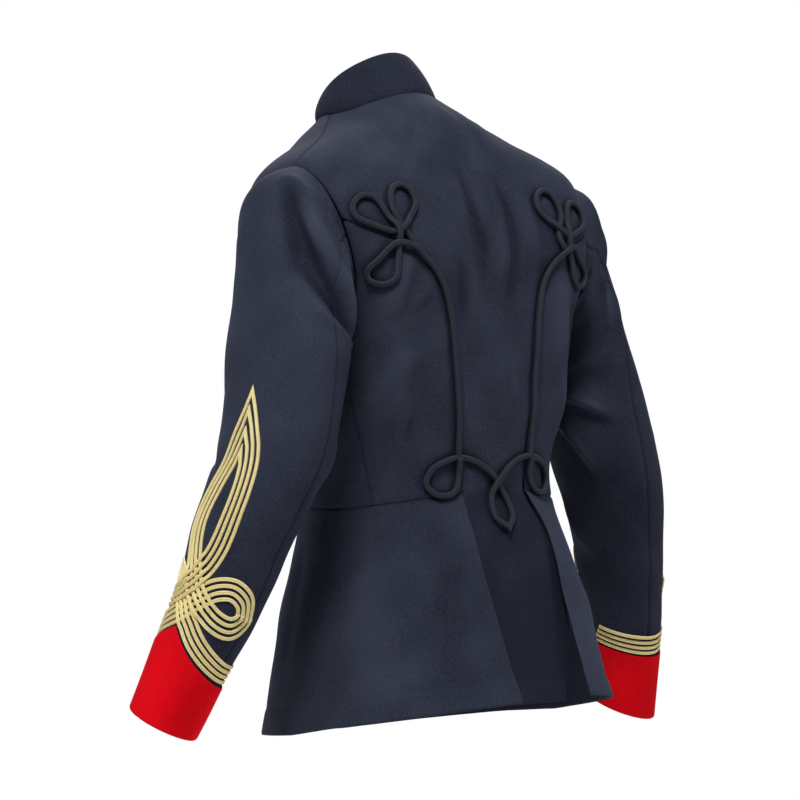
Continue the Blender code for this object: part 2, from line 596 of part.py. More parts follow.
def knot_rows():
    """Flat paths of the four braid rows, each both halves and its heights over the others."""
    middle = curve_through(KNOT, 0.002)
    run = np.gradient(middle, axis=0)
    left = np.stack((-run[:, 1], run[:, 0]), axis=-1) / np.linalg.norm(run, axis=1)[:, None]
    turn_at = int(np.argmin(middle[:, 0]))
    front_end = 0.001 - np.radians(KNOT_MEET) * girth_radius(SLEEVE_END - 0.08)
    halves = []
    for number in range(BRAID_ROWS):
        path = middle + left * (number - (BRAID_ROWS - 1) / 2) * BRAID_PITCH
        past = np.nonzero((np.arange(len(path)) > turn_at + 20) & (path[:, 0] > 0.004))[0][-1]
        after = np.nonzero((np.arange(len(path)) > past) & (path[:, 0] <= 0))[0]
        last = after[0] if len(after) else len(path)
        path = path[:last]
        if not len(after):
            slope = path[-1] - path[-8]
            steps = np.arange(1, int(path[-1, 0] / -slope[0] * 7) + 2)[:, None]
            path = np.concatenate((path, path[-1] + slope / 7 * steps))
        path[-1, 0] = 0.0
        halves.append((path, turn_at))
    laid, lifts = [], {}
    for part in range(2):
        for mirror in (-1, 1):
            fresh = []
            for number, (path, turn_at) in enumerate(halves):
                piece = (path[:turn_at] if part == 0 else path[turn_at:]) * (mirror, 1)
                height = lay_over(piece, laid, BRAID_WIDTH + 0.0022, BRAID_THICK + BRAID_CLEAR, 2)
                lifts[number, mirror, part] = height
                fresh.append((piece, height))
            laid = laid + fresh
    rows = []
    for number, (path, turn_at) in enumerate(halves):
        back = np.concatenate((lifts[number, 1, 0], lifts[number, 1, 1]))
        front = np.concatenate((lifts[number, -1, 0], lifts[number, -1, 1]))
        keep = path[:, 0] * -1 > front_end
        begin = int(np.argmax(keep))
        flat = np.concatenate((path, (path * (-1, 1))[begin:-1][::-1]))
        height = np.concatenate((back, front[begin:-1][::-1]))
        rows.append((flat, height, len(path) - 1))
    return rows


def build_braid():
    """Four rows of flat gold braid on each sleeve, laid from the sleeve's own points."""
    half, top = BRAID_WIDTH / 2, BRAID_TOP / 2
    profile = np.array(((-half, 0), (half, 0), (top, BRAID_THICK), (-top, BRAID_THICK)))
    for number, (flat, height, tip) in enumerate(knot_rows(), 1):
        clear = np.linalg.norm(flat - flat[tip], axis=1) > TIP_CLEAR
        clear[tip] = True
        for name, side in (("left", 1), ("right", -1)):
            downs = SLEEVE_END - flat[clear, 1] - CUFF_RISE[name]
            turns = KNOT_TURN[name] + np.degrees(flat[clear, 0] / girth_radius(downs))
            points = sleeve(name, turns, downs, BRAID_LIFT[name] + height[clear])
            normals = unit(points - sleeve(name, turns, downs, BRAID_LIFT[name] + height[clear] - 0.001))
            weighed = np.column_stack((points, 2 * height[clear]))
            chosen = thin(weighed, BRAID_STRAY, keep=(int(clear[:tip].sum()),))[::side]
            sweep("braid_%s_%d" % (name, number), points[chosen], normals[chosen], profile, "braid_gold")


def loop_points(root, heading, length, width):
    """Points of a drop-shaped loop that leaves its root and comes back to it."""
    angle = np.radians(heading)
    along = np.array((np.cos(angle), np.sin(angle)))
    aside = np.array((-along[1], along[0]))
    return [np.asarray(root) + along * length * a + aside * width * b for a, b in DROP]


def on_back(across, height):
    """Turn and level of the back's point that stands at a given side distance and height."""
    turn = np.degrees(np.arctan2(across, 0.12))
    level = height + 0.672
    for _ in range(12):
        here = torso_form(turn, level)
        miss = np.stack((across - here[:, 0], height - here[:, 2]), axis=-1)
        by_turn = (torso_form(turn + 0.1, level) - here)[:, [0, 2]] / 0.1
        by_level = (torso_form(turn, level + 0.001) - here)[:, [0, 2]] / 0.001
        det = by_turn[:, 0] * by_level[:, 1] - by_turn[:, 1] * by_level[:, 0]
        turn = turn + np.clip((miss[:, 0] * by_level[:, 1] - miss[:, 1] * by_level[:, 0]) / det, -8, 8)
        rise = (miss[:, 1] * by_turn[:, 0] - miss[:, 0] * by_turn[:, 1]) / det
        level = level + np.clip(rise, -0.03, 0.03)
    return turn, level


def trefoil(shift):
    """Flat path of a trefoil and its stem: the cord's end, three loops that meet at their roots, the stem."""
    path = [np.array(CORD_END[0]), np.array(CORD_END[1]) + (shift, 0)]
    for across, height, heading, length, width in LOOPS.values():
        root = np.array((across + shift, height))
        path += [*loop_points(root, heading, length, width), root]
    return curve_through(path + list(STEM), 0.002)


def build_cord():
    """One round cord: trefoil, stem, waist loop and centre loop, and the same on the other side."""
    left, right = trefoil(TREFOIL_SHIFT["left"]), trefoil(TREFOIL_SHIFT["right"]) * (-1, 1)
    lower = curve_through(WAIST_LOOP, 0.002)[::-1]
    reach, rise = 2 * CORD_RADIUS + 0.001, 2 * CORD_RADIUS + 0.0004

    def self_laid(path, before):
        height = np.zeros(len(path))
        block = 10
        for start in range(0, len(path), block):
            stop = min(start + block, len(path))
            old = max(0, start - 12)
            laid = before + ([(path[:old], height[:old])] if old else [])
            if laid:
                height[start:stop] = lay_over(path[start:stop], laid, reach, rise, 0)
        padded = np.pad(height, 3, mode="edge")
        wide = np.max([padded[k:k + len(height)] for k in range(7)], axis=0)
        padded = np.pad(wide, 3, mode="edge")
        return np.mean([padded[k:k + len(height)] for k in range(7)], axis=0)

    left_low = self_laid(lower, [])
    right_low = self_laid(lower * (-1, 1), [(lower, left_low)])
    left_high, right_high = self_laid(left, []), self_laid(right, [])
    flat = np.concatenate((left[:-1], lower[::-1][:-1], (lower * (-1, 1))[:-1], right[::-1]))
    height = np.concatenate((left_high[:-1], left_low[::-1][:-1], right_low[:-1], right_high[::-1]))
    turn, level = on_back(flat[:, 0], flat[:, 1])
    inside = np.abs(turn) < seam_turn(SKIRT_EDGE["left"], np.minimum(level, WAIST)) + 1
    drop = tail_drop(level) * inside
    points = torso(turn, level, CORD_LIFT + CORD_RADIUS + height + drop)
    normals = unit(torso(turn, level, 0.001 + drop) - torso(turn, level, drop))
    chosen = thin(points, CORD_STRAY)
    angle = np.arange(CORD_SIDES) / CORD_SIDES * 2 * np.pi
    profile = np.stack((np.cos(angle), np.sin(angle)), axis=-1) * CORD_RADIUS
    sweep("back_cord", points[chosen], normals[chosen], profile, "cord_black")


def build():
    """Clear the scene and build every piece."""
    for item in list(bpy.data.objects):
        bpy.data.objects.remove(item, do_unlink=True)
    build_torso()
    build_collar()
    build_sleeves()
    build_braid()
    build_cord()


build()
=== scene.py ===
"""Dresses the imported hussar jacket: wool panels with folds and seams, back cord, sleeve braid, stage.

Metres, +Z up, the front faces -Y and the wearer's left is +X. The origin is the neck base.
Torso points are a turn in degrees (0 centre back, 90 wearer's left, 180 centre front) and a level
up the cloth from the hem. Sleeve points are a turn round the arm (0 outer, 90 back, 180 body side)
and a distance down from the armhole.
"""
import math
from functools import partial

import bpy
import numpy as np
from bpy.props import FloatProperty, FloatVectorProperty, PointerProperty
from bpy.types import Operator, Panel, PropertyGroup
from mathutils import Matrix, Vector


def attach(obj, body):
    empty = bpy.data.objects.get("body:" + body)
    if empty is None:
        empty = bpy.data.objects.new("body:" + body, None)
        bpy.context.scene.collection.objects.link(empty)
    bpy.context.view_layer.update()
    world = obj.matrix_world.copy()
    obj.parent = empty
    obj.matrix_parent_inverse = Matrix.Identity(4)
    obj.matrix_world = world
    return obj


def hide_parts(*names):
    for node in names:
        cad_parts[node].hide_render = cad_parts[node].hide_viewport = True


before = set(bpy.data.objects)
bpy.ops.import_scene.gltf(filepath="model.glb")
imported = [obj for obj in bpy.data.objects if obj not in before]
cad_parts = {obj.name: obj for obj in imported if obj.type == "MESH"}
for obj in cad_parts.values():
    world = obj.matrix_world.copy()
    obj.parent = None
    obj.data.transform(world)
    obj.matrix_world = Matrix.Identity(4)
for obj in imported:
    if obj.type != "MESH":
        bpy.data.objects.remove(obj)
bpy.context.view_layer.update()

bl_info = {
    "name": "Hussar Jacket",
    "version": (1, 0, 0),
    "blender": (4, 5, 0),
    "location": "View3D > Sidebar > Jacket",
    "description": "Dresses the jacket's solids with wool, cord and braid",
    "category": "Object",
}

SIDES = (("left", 1), ("right", -1))
WAIST = 0.235
NECK = 0.735

# level, back_y, back_z, side_x, side_y, side_z, front_y, front_z, back_square, front_square, arch
TORSO = np.array([
    (0.000, 0.288, -0.660, 0.199, 0.090, -0.700, -0.066, -0.722, 2.3, 2.2, 1.0),
    (0.110, 0.258, -0.556, 0.180, 0.088, -0.582, -0.052, -0.600, 2.3, 2.2, 1.2),
    (0.180, 0.232, -0.484, 0.158, 0.084, -0.507, -0.044, -0.520, 2.4, 2.2, 1.6),
    (0.235, 0.208, -0.430, 0.144, 0.080, -0.452, -0.045, -0.464, 2.5, 2.2, 2.0),
    (0.335, 0.207, -0.336, 0.152, 0.078, -0.350, -0.078, -0.362, 3.0, 2.3, 2.0),
    (0.430, 0.203, -0.243, 0.161, 0.080, -0.245, -0.100, -0.255, 4.2, 2.5, 2.0),
    (0.525, 0.193, -0.150, 0.182, 0.083, -0.152, -0.098, -0.160, 5.4, 2.7, 2.0),
    (0.610, 0.158, -0.074, 0.186, 0.086, -0.074, -0.088, -0.108, 3.5, 2.6, 2.0),
    (0.675, 0.119, -0.012, 0.130, 0.056, -0.038, -0.078, -0.064, 2.9, 2.3, 2.0),
    (0.735, 0.070, 0.020, 0.070, 0.000, -0.004, -0.070, -0.027, 2.0, 2.0, 2.0),
])

# back_y, back_z, side_x, side_y, side_z, front_y, front_z of the collar's top ring
COLLAR_TOP = (0.034, 0.067, 0.056, -0.022, 0.031, -0.080, -0.006)
COLLAR_END = 178.0

# Leaning armhole oval: middle level, half height, middle turn, reach to the back and front, lean
ARM_MID, ARM_HALF, ARM_TURN, ARM_BACK, ARM_FRONT, ARM_LEAN = 0.523, 0.089, 83.0, 17.0, 32.0, 9.0
ARM_LOW, ARM_TOP = ARM_MID - ARM_HALF, ARM_MID + ARM_HALF
# level at which the back seam runs into the armhole
ARM_JOINT = ARM_MID + ARM_HALF * math.cos(math.radians(75.0))

# level, turn
BACK_SEAM = np.array([(0.235, 21.3), (0.335, 24.0), (0.420, 27.6), (0.455, 30.2), (0.481, 34.2),
                      (0.4985, 39.6), (0.514, 46.4), (0.526, 55.0), (0.546, 68.9)])
SIDE_SEAM = np.array([(0.235, 63.0), (0.300, 66.5), (0.370, 70.5), (0.434, 74.0)])
SHOULDER_SEAM = np.array([(0.612, 92.0), (0.735, 90.0)])
TAIL_EDGE = np.array([(0.000, 11.5), (0.040, 15.5), (0.080, 21.5), (0.120, 25.5),
                      (0.190, 26.0), (0.235, 21.3)])
SKIRT_EDGE = {
    "left": np.array([(0.000, 10.4), (0.120, 16.2), (0.235, 21.3)]),
    "right": np.array([(0.000, 14.5), (0.080, 16.4), (0.120, 18.5), (0.160, 22.0),
                       (0.200, 24.0), (0.235, 21.3)]),
}
# turn by which torso panels and sleeve halves pass their seams, so that these close
SEAM_PASS, SLEEVE_PASS = 0.03, 0.1
# turn by which the fronts pass the centre, where the upper one starts to lift, and over which turn
FRONT_LAP, LAP_FROM, LAP_OVER = 6.0, 158.0, 12.0
# lift of the upper front, sink of the tail, and the length above the waist over which it sinks
LAP, TAIL_LAP, TAIL_SINK = 0.0028, 0.0040, 0.025
# how far above the waist the tail's painted shade starts, and how far below the joint the side body ends
TAIL_SHADE, JOINT_CLEAR = 0.01, 0.0012
# how far each skirt stands off at its rear edge, over which turn, and how that grows towards the hem
KICK, KICK_TURN, KICK_CURVE = {"left": 0.006, "right": 0.022}, 34.0, 1.3
# share of the folds left at the neck, and the length over which they fade
NECK_FOLDS, NECK_FADE = 0.15, 0.05
# swell of the collar, height, count and phase of the waves round it, share by which it passes the neck seam
COLLAR_SWELL, COLLAR_WAVE, COLLAR_WAVES, COLLAR_PHASE, COLLAR_FOOT = 0.012, 0.0006, 5, 1, -0.04

# turn, level, turn, level, half width, height, bow, lean of each torso fold
TORSO_FOLDS = np.array([
    (12.0, 0.625, 4.0, 0.440, 0.018, -0.0040, 0.000, 0.0),
    (-27.0, 0.625, -9.0, 0.430, 0.018, -0.0038, 0.000, 0.0),
    (21.0, 0.500, 21.0, 0.400, 0.016, -0.0030, 0.000, 0.0),
    (44.0, 0.510, 59.0, 0.395, 0.020, 0.0052, 0.006, 0.0),
    (45.0, 0.412, 59.0, 0.322, 0.018, 0.0046, 0.004, 0.0),
    (-42.0, 0.490, -43.0, 0.365, 0.018, 0.0042, 0.000, 0.0),
    (-45.0, 0.380, -60.0, 0.300, 0.018, 0.0040, 0.004, 0.0),
    (-10.0, 0.150, -3.0, -0.030, 0.018, -0.0040, 0.000, 0.0),
    (34.0, 0.210, 30.0, 0.020, 0.022, -0.0030, 0.000, 0.0),
    (62.0, 0.200, 60.0, 0.010, 0.026, 0.0040, 0.000, 0.0),
    (103.0, 0.215, 99.0, 0.010, 0.024, -0.0050, 0.000, 0.0),
    (-62.0, 0.200, -60.0, 0.010, 0.024, -0.0040, 0.000, 0.0),
    (-100.0, 0.200, -98.0, 0.010, 0.024, 0.0040, 0.000, 0.0),
    (11.0, 0.620, 4.0, 0.470, 0.008, -0.0032, 0.003, 0.4),
    (18.0, 0.600, 12.0, 0.500, 0.010, 0.0020, 0.000, 0.0),
    (-27.0, 0.618, -10.0, 0.445, 0.007, -0.0034, 0.004, 0.5),
    (-19.0, 0.604, -4.0, 0.455, 0.009, 0.0026, 0.004, 0.0),
    (-44.0, 0.590, -30.0, 0.455, 0.009, -0.0028, 0.000, 0.3),
    (11.0, 0.488, 18.0, 0.428, 0.007, 0.0022, 0.000, 0.0),
    (21.0, 0.505, 20.0, 0.425, 0.008, -0.0028, 0.000, 0.4),
    (-9.5, 0.374, -14.0, 0.334, 0.005, 0.0018, 0.000, 0.3),
    (46.0, 0.507, 58.0, 0.403, 0.010, 0.0055, 0.005, -0.4),
    (41.0, 0.502, 50.0, 0.418, 0.010, -0.0045, 0.000, 0.0),
    (46.0, 0.402, 58.0, 0.336, 0.008, 0.0045, 0.003, -0.4),
    (40.0, 0.392, 48.0, 0.345, 0.009, -0.0026, 0.000, 0.0),
    (36.0, 0.460, 45.0, 0.432, 0.005, -0.0022, 0.000, 0.3),
    (43.5, 0.334, 48.0, 0.297, 0.004, -0.0024, 0.000, 0.3),
    (47.0, 0.337, 51.0, 0.300, 0.006, 0.0016, 0.000, 0.0),
    (-41.0, 0.478, -44.0, 0.390, 0.006, 0.0032, 0.000, 0.0),
    (-49.0, 0.470, -52.0, 0.400, 0.009, -0.0030, 0.000, 0.0),
    (-12.0, 0.125, -6.0, 0.000, 0.009, -0.0020, 0.000, 0.4),
    (96.0, 0.205, 93.0, 0.015, 0.012, 0.0022, 0.000, 0.0),
    (110.0, 0.205, 107.0, 0.060, 0.010, 0.0020, 0.000, 0.0),
    (140.0, 0.200, 146.0, 0.005, 0.016, -0.0026, 0.000, 0.0),
    (-138.0, 0.200, -144.0, 0.005, 0.016, -0.0026, 0.000, 0.0),
    (118.0, 0.455, 142.0, 0.395, 0.012, -0.0032, 0.004, 0.3),
    (119.0, 0.425, 146.0, 0.350, 0.012, 0.0030, 0.004, 0.0),
    (105.0, 0.330, 128.0, 0.275, 0.010, -0.0024, 0.000, 0.3),
    (-117.0, 0.450, -139.0, 0.385, 0.012, -0.0030, -0.004, 0.3),
    (-120.0, 0.420, -148.0, 0.355, 0.012, 0.0028, -0.004, 0.0),
    (-106.0, 0.320, -126.0, 0.270, 0.010, -0.0024, 0.000, 0.3),
    (160.0, 0.640, 150.0, 0.560, 0.014, -0.0022, 0.000, 0.0),
    (-160.0, 0.640, -151.0, 0.550, 0.014, -0.0022, 0.000, 0.0),
])

# out_x, out_z, in_x, in_z, mid_y, half_depth of the sleeve sections, shoulder to hand
SLEEVE = np.array([
    (0.181, -0.074, 0.161, -0.240, 0.082, 0.083),
    (0.208, -0.084, 0.164, -0.250, 0.084, 0.086),
    (0.224, -0.117, 0.167, -0.262, 0.090, 0.087),
    (0.236, -0.165, 0.169, -0.278, 0.096, 0.091),
    (0.252, -0.232, 0.171, -0.300, 0.101, 0.094),
    (0.275, -0.310, 0.178, -0.340, 0.113, 0.084),
    (0.297, -0.385, 0.194, -0.397, 0.119, 0.077),
    (0.322, -0.450, 0.228, -0.477, 0.108, 0.066),
    (0.344, -0.540, 0.263, -0.570, 0.090, 0.053),
    (0.359, -0.598, 0.285, -0.624, 0.071, 0.046),
    (0.375, -0.669, 0.308, -0.689, 0.047, 0.042),
])
RIGHT_REACH, RIGHT_TILT, RIGHT_FROM, RIGHT_OVER = (0.005, 0.000, -0.031), 0.4, 0.22, 0.40
FORE_SEAM = -105.0
# distance, turn of the hind seam
HIND_SEAM = np.array([(0.000, 88.0), (0.045, 93.0), (0.100, 76.0), (0.135, 74.0), (0.210, 94.0),
                      (0.320, 99.0), (0.620, 99.0)])
UNDER_CUFF = 0.045
# how far the cap passes the armhole, in parts of it, and the length over which it fades into the arm
CAP_PASS, CAP_FADE = 0.003, 0.12
# rows crowded at the armhole, the length that they take, and where the even rows begin
CAP_ROWS, CAP_FINE, ARM_FROM = 12, 0.03, 0.032
# lengths over which folds fade in at the armhole and out above the braid, and the calm length there
FOLD_IN, FOLD_OUT, BRAID_CALM = 0.03, 0.08, 0.06
# share by which seams are pressed flat, and middle and reach of that on the shoulder and round the sleeve
PRESSED = 0.8
SHOULDER_SOFT, SHOULDER_REACH = 0.596, 0.020
SLEEVE_SOFT, SLEEVE_REACH = -5.0, 48.0

# turn, distance, turn, distance, half width, height, bow, lean of each sleeve fold
SLEEVE_FOLDS = {
    "left": np.array([
        (22.0, 0.045, 120.0, 0.142, 0.018, -0.0080, -0.020, 0.0),
        (34.0, 0.030, 98.0, 0.090, 0.020, 0.0060, -0.006, 0.0),
        (30.0, 0.105, 112.0, 0.188, 0.022, 0.0040, -0.016, 0.0),
        (-60.0, 0.190, 0.0, 0.205, 0.018, -0.0035, 0.000, 0.0),
        (35.0, 0.330, 115.0, 0.350, 0.020, 0.0030, 0.000, 0.0),
        (104.0, 0.015, 124.0, 0.155, 0.016, 0.0070, 0.000, 0.0),
        (130.0, 0.180, 215.0, 0.230, 0.018, 0.0045, 0.000, 0.0),
        (120.0, 0.270, 200.0, 0.330, 0.018, 0.0045, 0.000, 0.0),
        (18.0, 0.026, 33.0, 0.116, 0.014, -0.0100, 0.000, 0.75),
        (20.0, 0.078, 128.0, 0.138, 0.014, -0.0110, -0.015, 0.75),
        (28.0, 0.106, 118.0, 0.154, 0.012, 0.0050, -0.012, 0.0),
        (44.0, 0.040, 66.0, 0.108, 0.015, 0.0060, 0.000, 0.0),
        (4.0, 0.022, 10.0, 0.115, 0.014, 0.0035, 0.000, 0.0),
        (92.0, 0.055, 114.0, 0.118, 0.010, 0.0045, 0.000, 0.0),
        (78.0, 0.106, 98.0, 0.120, 0.005, -0.0032, 0.000, 0.3),
        (15.0, 0.250, 85.0, 0.275, 0.014, 0.0020, 0.000, 0.0),
        (-45.0, 0.018, 30.0, 0.018, 0.014, -0.0030, 0.000, 0.0),
        (132.0, 0.205, 212.0, 0.255, 0.008, -0.0026, 0.000, 0.3),
        (122.0, 0.300, 200.0, 0.360, 0.008, -0.0024, 0.000, 0.3),
        (-80.0, 0.285, -30.0, 0.310, 0.010, -0.0024, 0.000, 0.3),
    ]),
    "right": np.array([
        (182.0, 0.178, 120.0, 0.250, 0.017, 0.0055, 0.000, 0.0),
        (188.0, 0.218, 145.0, 0.312, 0.017, 0.0055, 0.000, 0.0),
        (214.0, 0.332, 172.0, 0.402, 0.017, 0.0045, 0.000, 0.0),
        (96.0, 0.045, 110.0, 0.120, 0.016, 0.0045, 0.000, 0.0),
        (36.0, 0.100, 122.0, 0.056, 0.016, -0.0085, 0.000, 0.0),
        (64.0, 0.010, 54.0, 0.270, 0.042, -0.0075, 0.000, 0.0),
        (165.0, 0.165, 125.0, 0.205, 0.017, -0.0045, 0.000, 0.0),
        (178.0, 0.185, 128.0, 0.243, 0.005, 0.0050, 0.000, 0.0),
        (176.0, 0.202, 126.0, 0.260, 0.008, -0.0040, 0.000, 0.3),
        (188.0, 0.220, 152.0, 0.303, 0.005, 0.0050, 0.000, 0.0),
        (190.0, 0.240, 156.0, 0.320, 0.008, -0.0040, 0.000, 0.3),
        (214.0, 0.336, 172.0, 0.400, 0.005, 0.0042, 0.000, 0.0),
        (97.0, 0.048, 109.0, 0.116, 0.005, 0.0042, 0.000, 0.0),
        (40.0, 0.099, 118.0, 0.058, 0.007, -0.0030, 0.000, 0.4),
        (-45.0, 0.018, 45.0, 0.018, 0.014, -0.0035, 0.000, 0.0),
        (-80.0, 0.270, -30.0, 0.300, 0.010, -0.0024, 0.000, 0.3),
    ]),
}

# waves per metre across and along, phase, height of the cloth's slight unevenness
RIPPLES = np.array([
    (6.1, 8.7, 0.4, 0.00045), (-9.3, 7.1, 2.1, 0.00040), (13.7, -5.9, 4.0, 0.00030),
    (4.3, 17.1, 5.2, 0.00025), (-19.1, -12.3, 1.3, 0.00018), (23.3, 15.7, 3.3, 0.00014),
])

CUFF_LOW, CUFF_POINT, CUFF_REACH, CUFF_CURVE, CUFF_GAP = 0.066, 0.107, 0.095, 2.2, 0.0007
CUFF_RISE = {"left": 0.000, "right": 0.018}
KNOT_TURN = {"left": 8.0, "right": -52.0}
# turn at which the braid's ends meet, their gap, and the height whose girth turns lengths into turns
KNOT_MEET, KNOT_GAP, KNOT_FOOT = 113.0, 0.001, 0.08
BRAID_ROWS = 4
TIP_CLEAR = 0.016
PATH_STEP = 0.0014
# rise at a crossing in parts of the braid's height, and the length over which it rises
BRAID_STACK, BRAID_RAMP = 0.8, 0.004
# run after the loop before the axis is looked for, how near it counts, steps whose slope leads to it
LOOP_PASSED, AXIS_NEAR, TIP_STEPS = 0.04, 0.004, 13
# height of the braid's foot over the sleeve, and how far below it the cloth is taken for its normal
BRAID_FOOT, BRAID_UNDER = 0.0002, 0.0008

# across from the axis, up from the sleeve end: half of the knot, middle of its four rows
KNOT = np.array([
    (0.183, 0.0805), (0.140, 0.0805), (0.100, 0.0810), (0.066, 0.0850), (0.036, 0.0975),
    (0.010, 0.1180), (-0.012, 0.1430), (-0.030, 0.1600), (-0.049, 0.1655), (-0.066, 0.1580),
    (-0.071, 0.1430), (-0.060, 0.1305), (-0.037, 0.1310), (-0.012, 0.1460), (0.004, 0.1670),
    (0.015, 0.1950), (0.0200, 0.2320), (0.0180, 0.2740), (0.0100, 0.3140), (0.000, 0.3430),
])

# across and height of the root, heading, length, width of each trefoil loop
LOOPS = {
    "inner": (0.131, -0.1470, 118.0, 0.056, 0.030),
    "outer": (0.131, -0.1470, 43.0, 0.050, 0.030),
    "lower": (0.135, -0.1600, 293.0, 0.046, 0.0245),
}
# how far each trefoil is sewn from the tabled place
TREFOIL_SHIFT = {"left": 0.000, "right": -0.011}
# along, aside of a drop-shaped loop, in parts of its length and width
DROP = ((0.42, -0.36), (0.78, -0.50), (0.97, -0.22), (0.97, 0.22), (0.78, 0.50), (0.42, 0.36))
# across, height of the cord's runs
CORD_END = ((0.112, -0.161), (0.118, -0.147))
STEM = ((0.116, -0.1625), (0.0985, -0.174), (0.084, -0.1885), (0.0715, -0.210), (0.064, -0.243),
        (0.060, -0.287), (0.0555, -0.340), (0.052, -0.395))
WAIST_LOOP = ((0.052, -0.395), (0.052, -0.415), (0.060, -0.433), (0.077, -0.436), (0.088, -0.424),
              (0.082, -0.406), (0.066, -0.397), (0.052, -0.394), (0.034, -0.397), (0.016, -0.407),
              (0.000, -0.421), (-0.011, -0.440), (-0.0125, -0.460), (0.000, -0.474))
# sides of the cord's section, turn past a skirt's edge within which it still lies on the tail
CORD_SIDES, TAIL_MARGIN = 16, 1
# cord's height over its width, share of the radius from cloth to its middle, rise at a crossing in radii
CORD_TALL, CORD_SEAT, CORD_STACK = 1.10, 0.90, 1.2
# depth of the furrow along its top in parts of the radius, and its width as an angle
FURROW_DEPTH, FURROW_WIDTH = 0.16, 0.35
# path points laid at a time, run of its own that a cord may touch, and the length of its rise
LAY_BLOCK, OWN_RUN, CORD_RAMP = 12, 0.024, 0.006
# reach and depth of the cloth drawn in along the cord; the reach also spreads the painted shade beside the
# cord
CORD_BED, CORD_BED_DEPTH = 0.0062, 0.0008

# width of a stitched line, share of the wall and reach of a free edge's rounding, least wall
STITCH, EDGE_ROUND, EDGE_REACH, LEAST_WALL = 0.0008, 0.42, 0.0011, 0.0006
# rise of the hem's turning, the length over which it rises, depth of its stitching, its place and reach
HEM_RISE, HEM_OVER, HEM_STITCH, HEM_STITCH_AT, HEM_STITCH_REACH = 0.0005, 0.003, 0.0006, 0.002, 0.0022
# fold heights at which the painted shade in troughs and the painted light on ridges are full, and the share
# of a seam's sink painted as shade in its groove
TORSO_DEEP, SLEEVE_DEEP, SEAM_SHADE = 0.0042, 0.007, 0.5
# painted shade and light of single places: below zero the dark ground shows as painted shade, above zero the
# paler nap as painted light
PAINTED_SHADE_AND_LIGHT = {"inside": -1.3, "cord": -1.5, "tail": -1.2, "slit": 0.9, "collar": -0.8, "forearm": -0.5,
        "cuff_left": -0.15, "cuff_right": -0.9}
# where the forearm's painted shade starts and over which length, then the same as turns towards the back
FOREARM_FROM, FOREARM_OVER, HIND_FROM, HIND_OVER = 0.24, 0.10, -10.0, 60.0
# height, count, phase and fall of the waves in a cuff, and their painted shade and light for each metre of
# height
CUFF_WAVE, CUFF_WAVES, CUFF_PHASE, CUFF_FALL, CUFF_WAVE_SHADE = 0.0006, 3, 0.7, 2.6, 900

# grid rows and columns of the pieces
ROWS = {"below": 54, "beside": 66, "above": 34, "tail": 62, "skirt": 70, "collar": 30, "sleeve": 200,
        "cuff": 40}
COLUMNS = {"back": 132, "side_body": 46, "front": 76, "skirt": 124, "collar": 181, "sleeve": 96, "cuff": 144}
# small steps of turn and length that give a form's slopes
TURN_STEP, SLEEVE_TURN_STEP, STEP = 0.1, 0.5, 0.001


def length_setting(name, description, default):
    """Setting for a length."""
    return FloatProperty(name=name, description=description, default=default, unit="LENGTH")


def angle_setting(name, description, degrees):
    """Setting for an angle, given in degrees."""
    return FloatProperty(name=name, description=description, default=math.radians(degrees), subtype="ANGLE")


def colour_setting(name, description, *colour):
    """Setting for a solid colour."""
    return FloatVectorProperty(name=name, description=description, default=(*colour, 1.0), size=4,
                               subtype="COLOR")


class ClothSettings(PropertyGroup):
    """Sizes of the wool pieces."""
    thickness: length_setting("Thickness", "Thickness of the wool", 0.0022)
    collar: length_setting("Collar", "Thickness of the collar", 0.0034)
    folds: FloatProperty(name="Folds", description="Depth of the folds, 1 as worn", default=1.0, min=0.0,
                         max=1.5)
    seam_depth: length_setting("Seam depth", "How far a seam sinks", 0.0010)
    seam_reach: length_setting("Seam reach", "How wide a seam sinks", 0.0030)
    seam_line: length_setting("Seam line", "Depth of its stitched line", 0.0009)
    hem: length_setting("Hem", "Height of the hem's turning", 0.026)


class TrimSettings(PropertyGroup):
    """Sizes of the cord and the braid."""
    cord_radius: length_setting("Cord radius", "Half the cord's width", 0.0033)
    braid_width: length_setting("Braid width", "Width of a braid row", 0.0042)
    braid_pitch: length_setting("Braid pitch", "Row to row", 0.0066)
    braid_thick: length_setting("Braid height", "Height of a row", 0.0017)


class ColourSettings(PropertyGroup):
    """Colours of the wool, cord and braid."""
    navy: colour_setting("Navy", "Wool ground", 0.0125, 0.0152, 0.0275)
    navy_nap: colour_setting("Navy nap", "Raised fibres", 0.0400, 0.0465, 0.0740)
    scarlet: colour_setting("Scarlet", "Cuff wool ground", 0.600, 0.0010, 0.0060)
    scarlet_nap: colour_setting("Scarlet nap", "Raised fibres", 0.840, 0.0030, 0.0110)
    cord: colour_setting("Cord", "Cord thread", 0.0420, 0.0500, 0.0650)
    # the cord's groove colour is painted shade between the threads
    cord_groove_shade: colour_setting("Cord groove", "Between the threads", 0.0130, 0.0160, 0.0220)
    gold: colour_setting("Gold", "Gilt thread", 1.000, 0.870, 0.430)
    # the braid's groove colour is painted shade between the threads
    gold_groove_shade: colour_setting("Gold groove", "Between the threads", 0.740, 0.570, 0.220)
    lint: colour_setting("Lint", "Stray pale fibres", 0.300, 0.310, 0.340)


class StageSettings(PropertyGroup):
    """Camera, light and floor."""
    azimuth: angle_setting("Azimuth", "Camera's turn round the jacket", 140.0)
    elevation: angle_setting("Elevation", "Camera's height angle", 1.0)
    distance: length_setting("Distance", "Camera to jacket", 3.6)
    lens: FloatProperty(name="Lens", description="Focal length in millimetres", default=139.3)
    target: FloatVectorProperty(name="Target", description="Point in the picture's middle", size=3,
                                default=(-0.0196, 0.0165, -0.334), subtype="XYZ")
    floor: length_setting("Floor", "Height of the floor", -1.45)
    light: FloatProperty(name="Light", description="Power of the main light in watts", default=286.0)
    reach: length_setting("Light distance", "Lights to jacket", 5.5)
    sky: FloatProperty(name="Surround", description="Strength of the surrounding light", default=0.08)


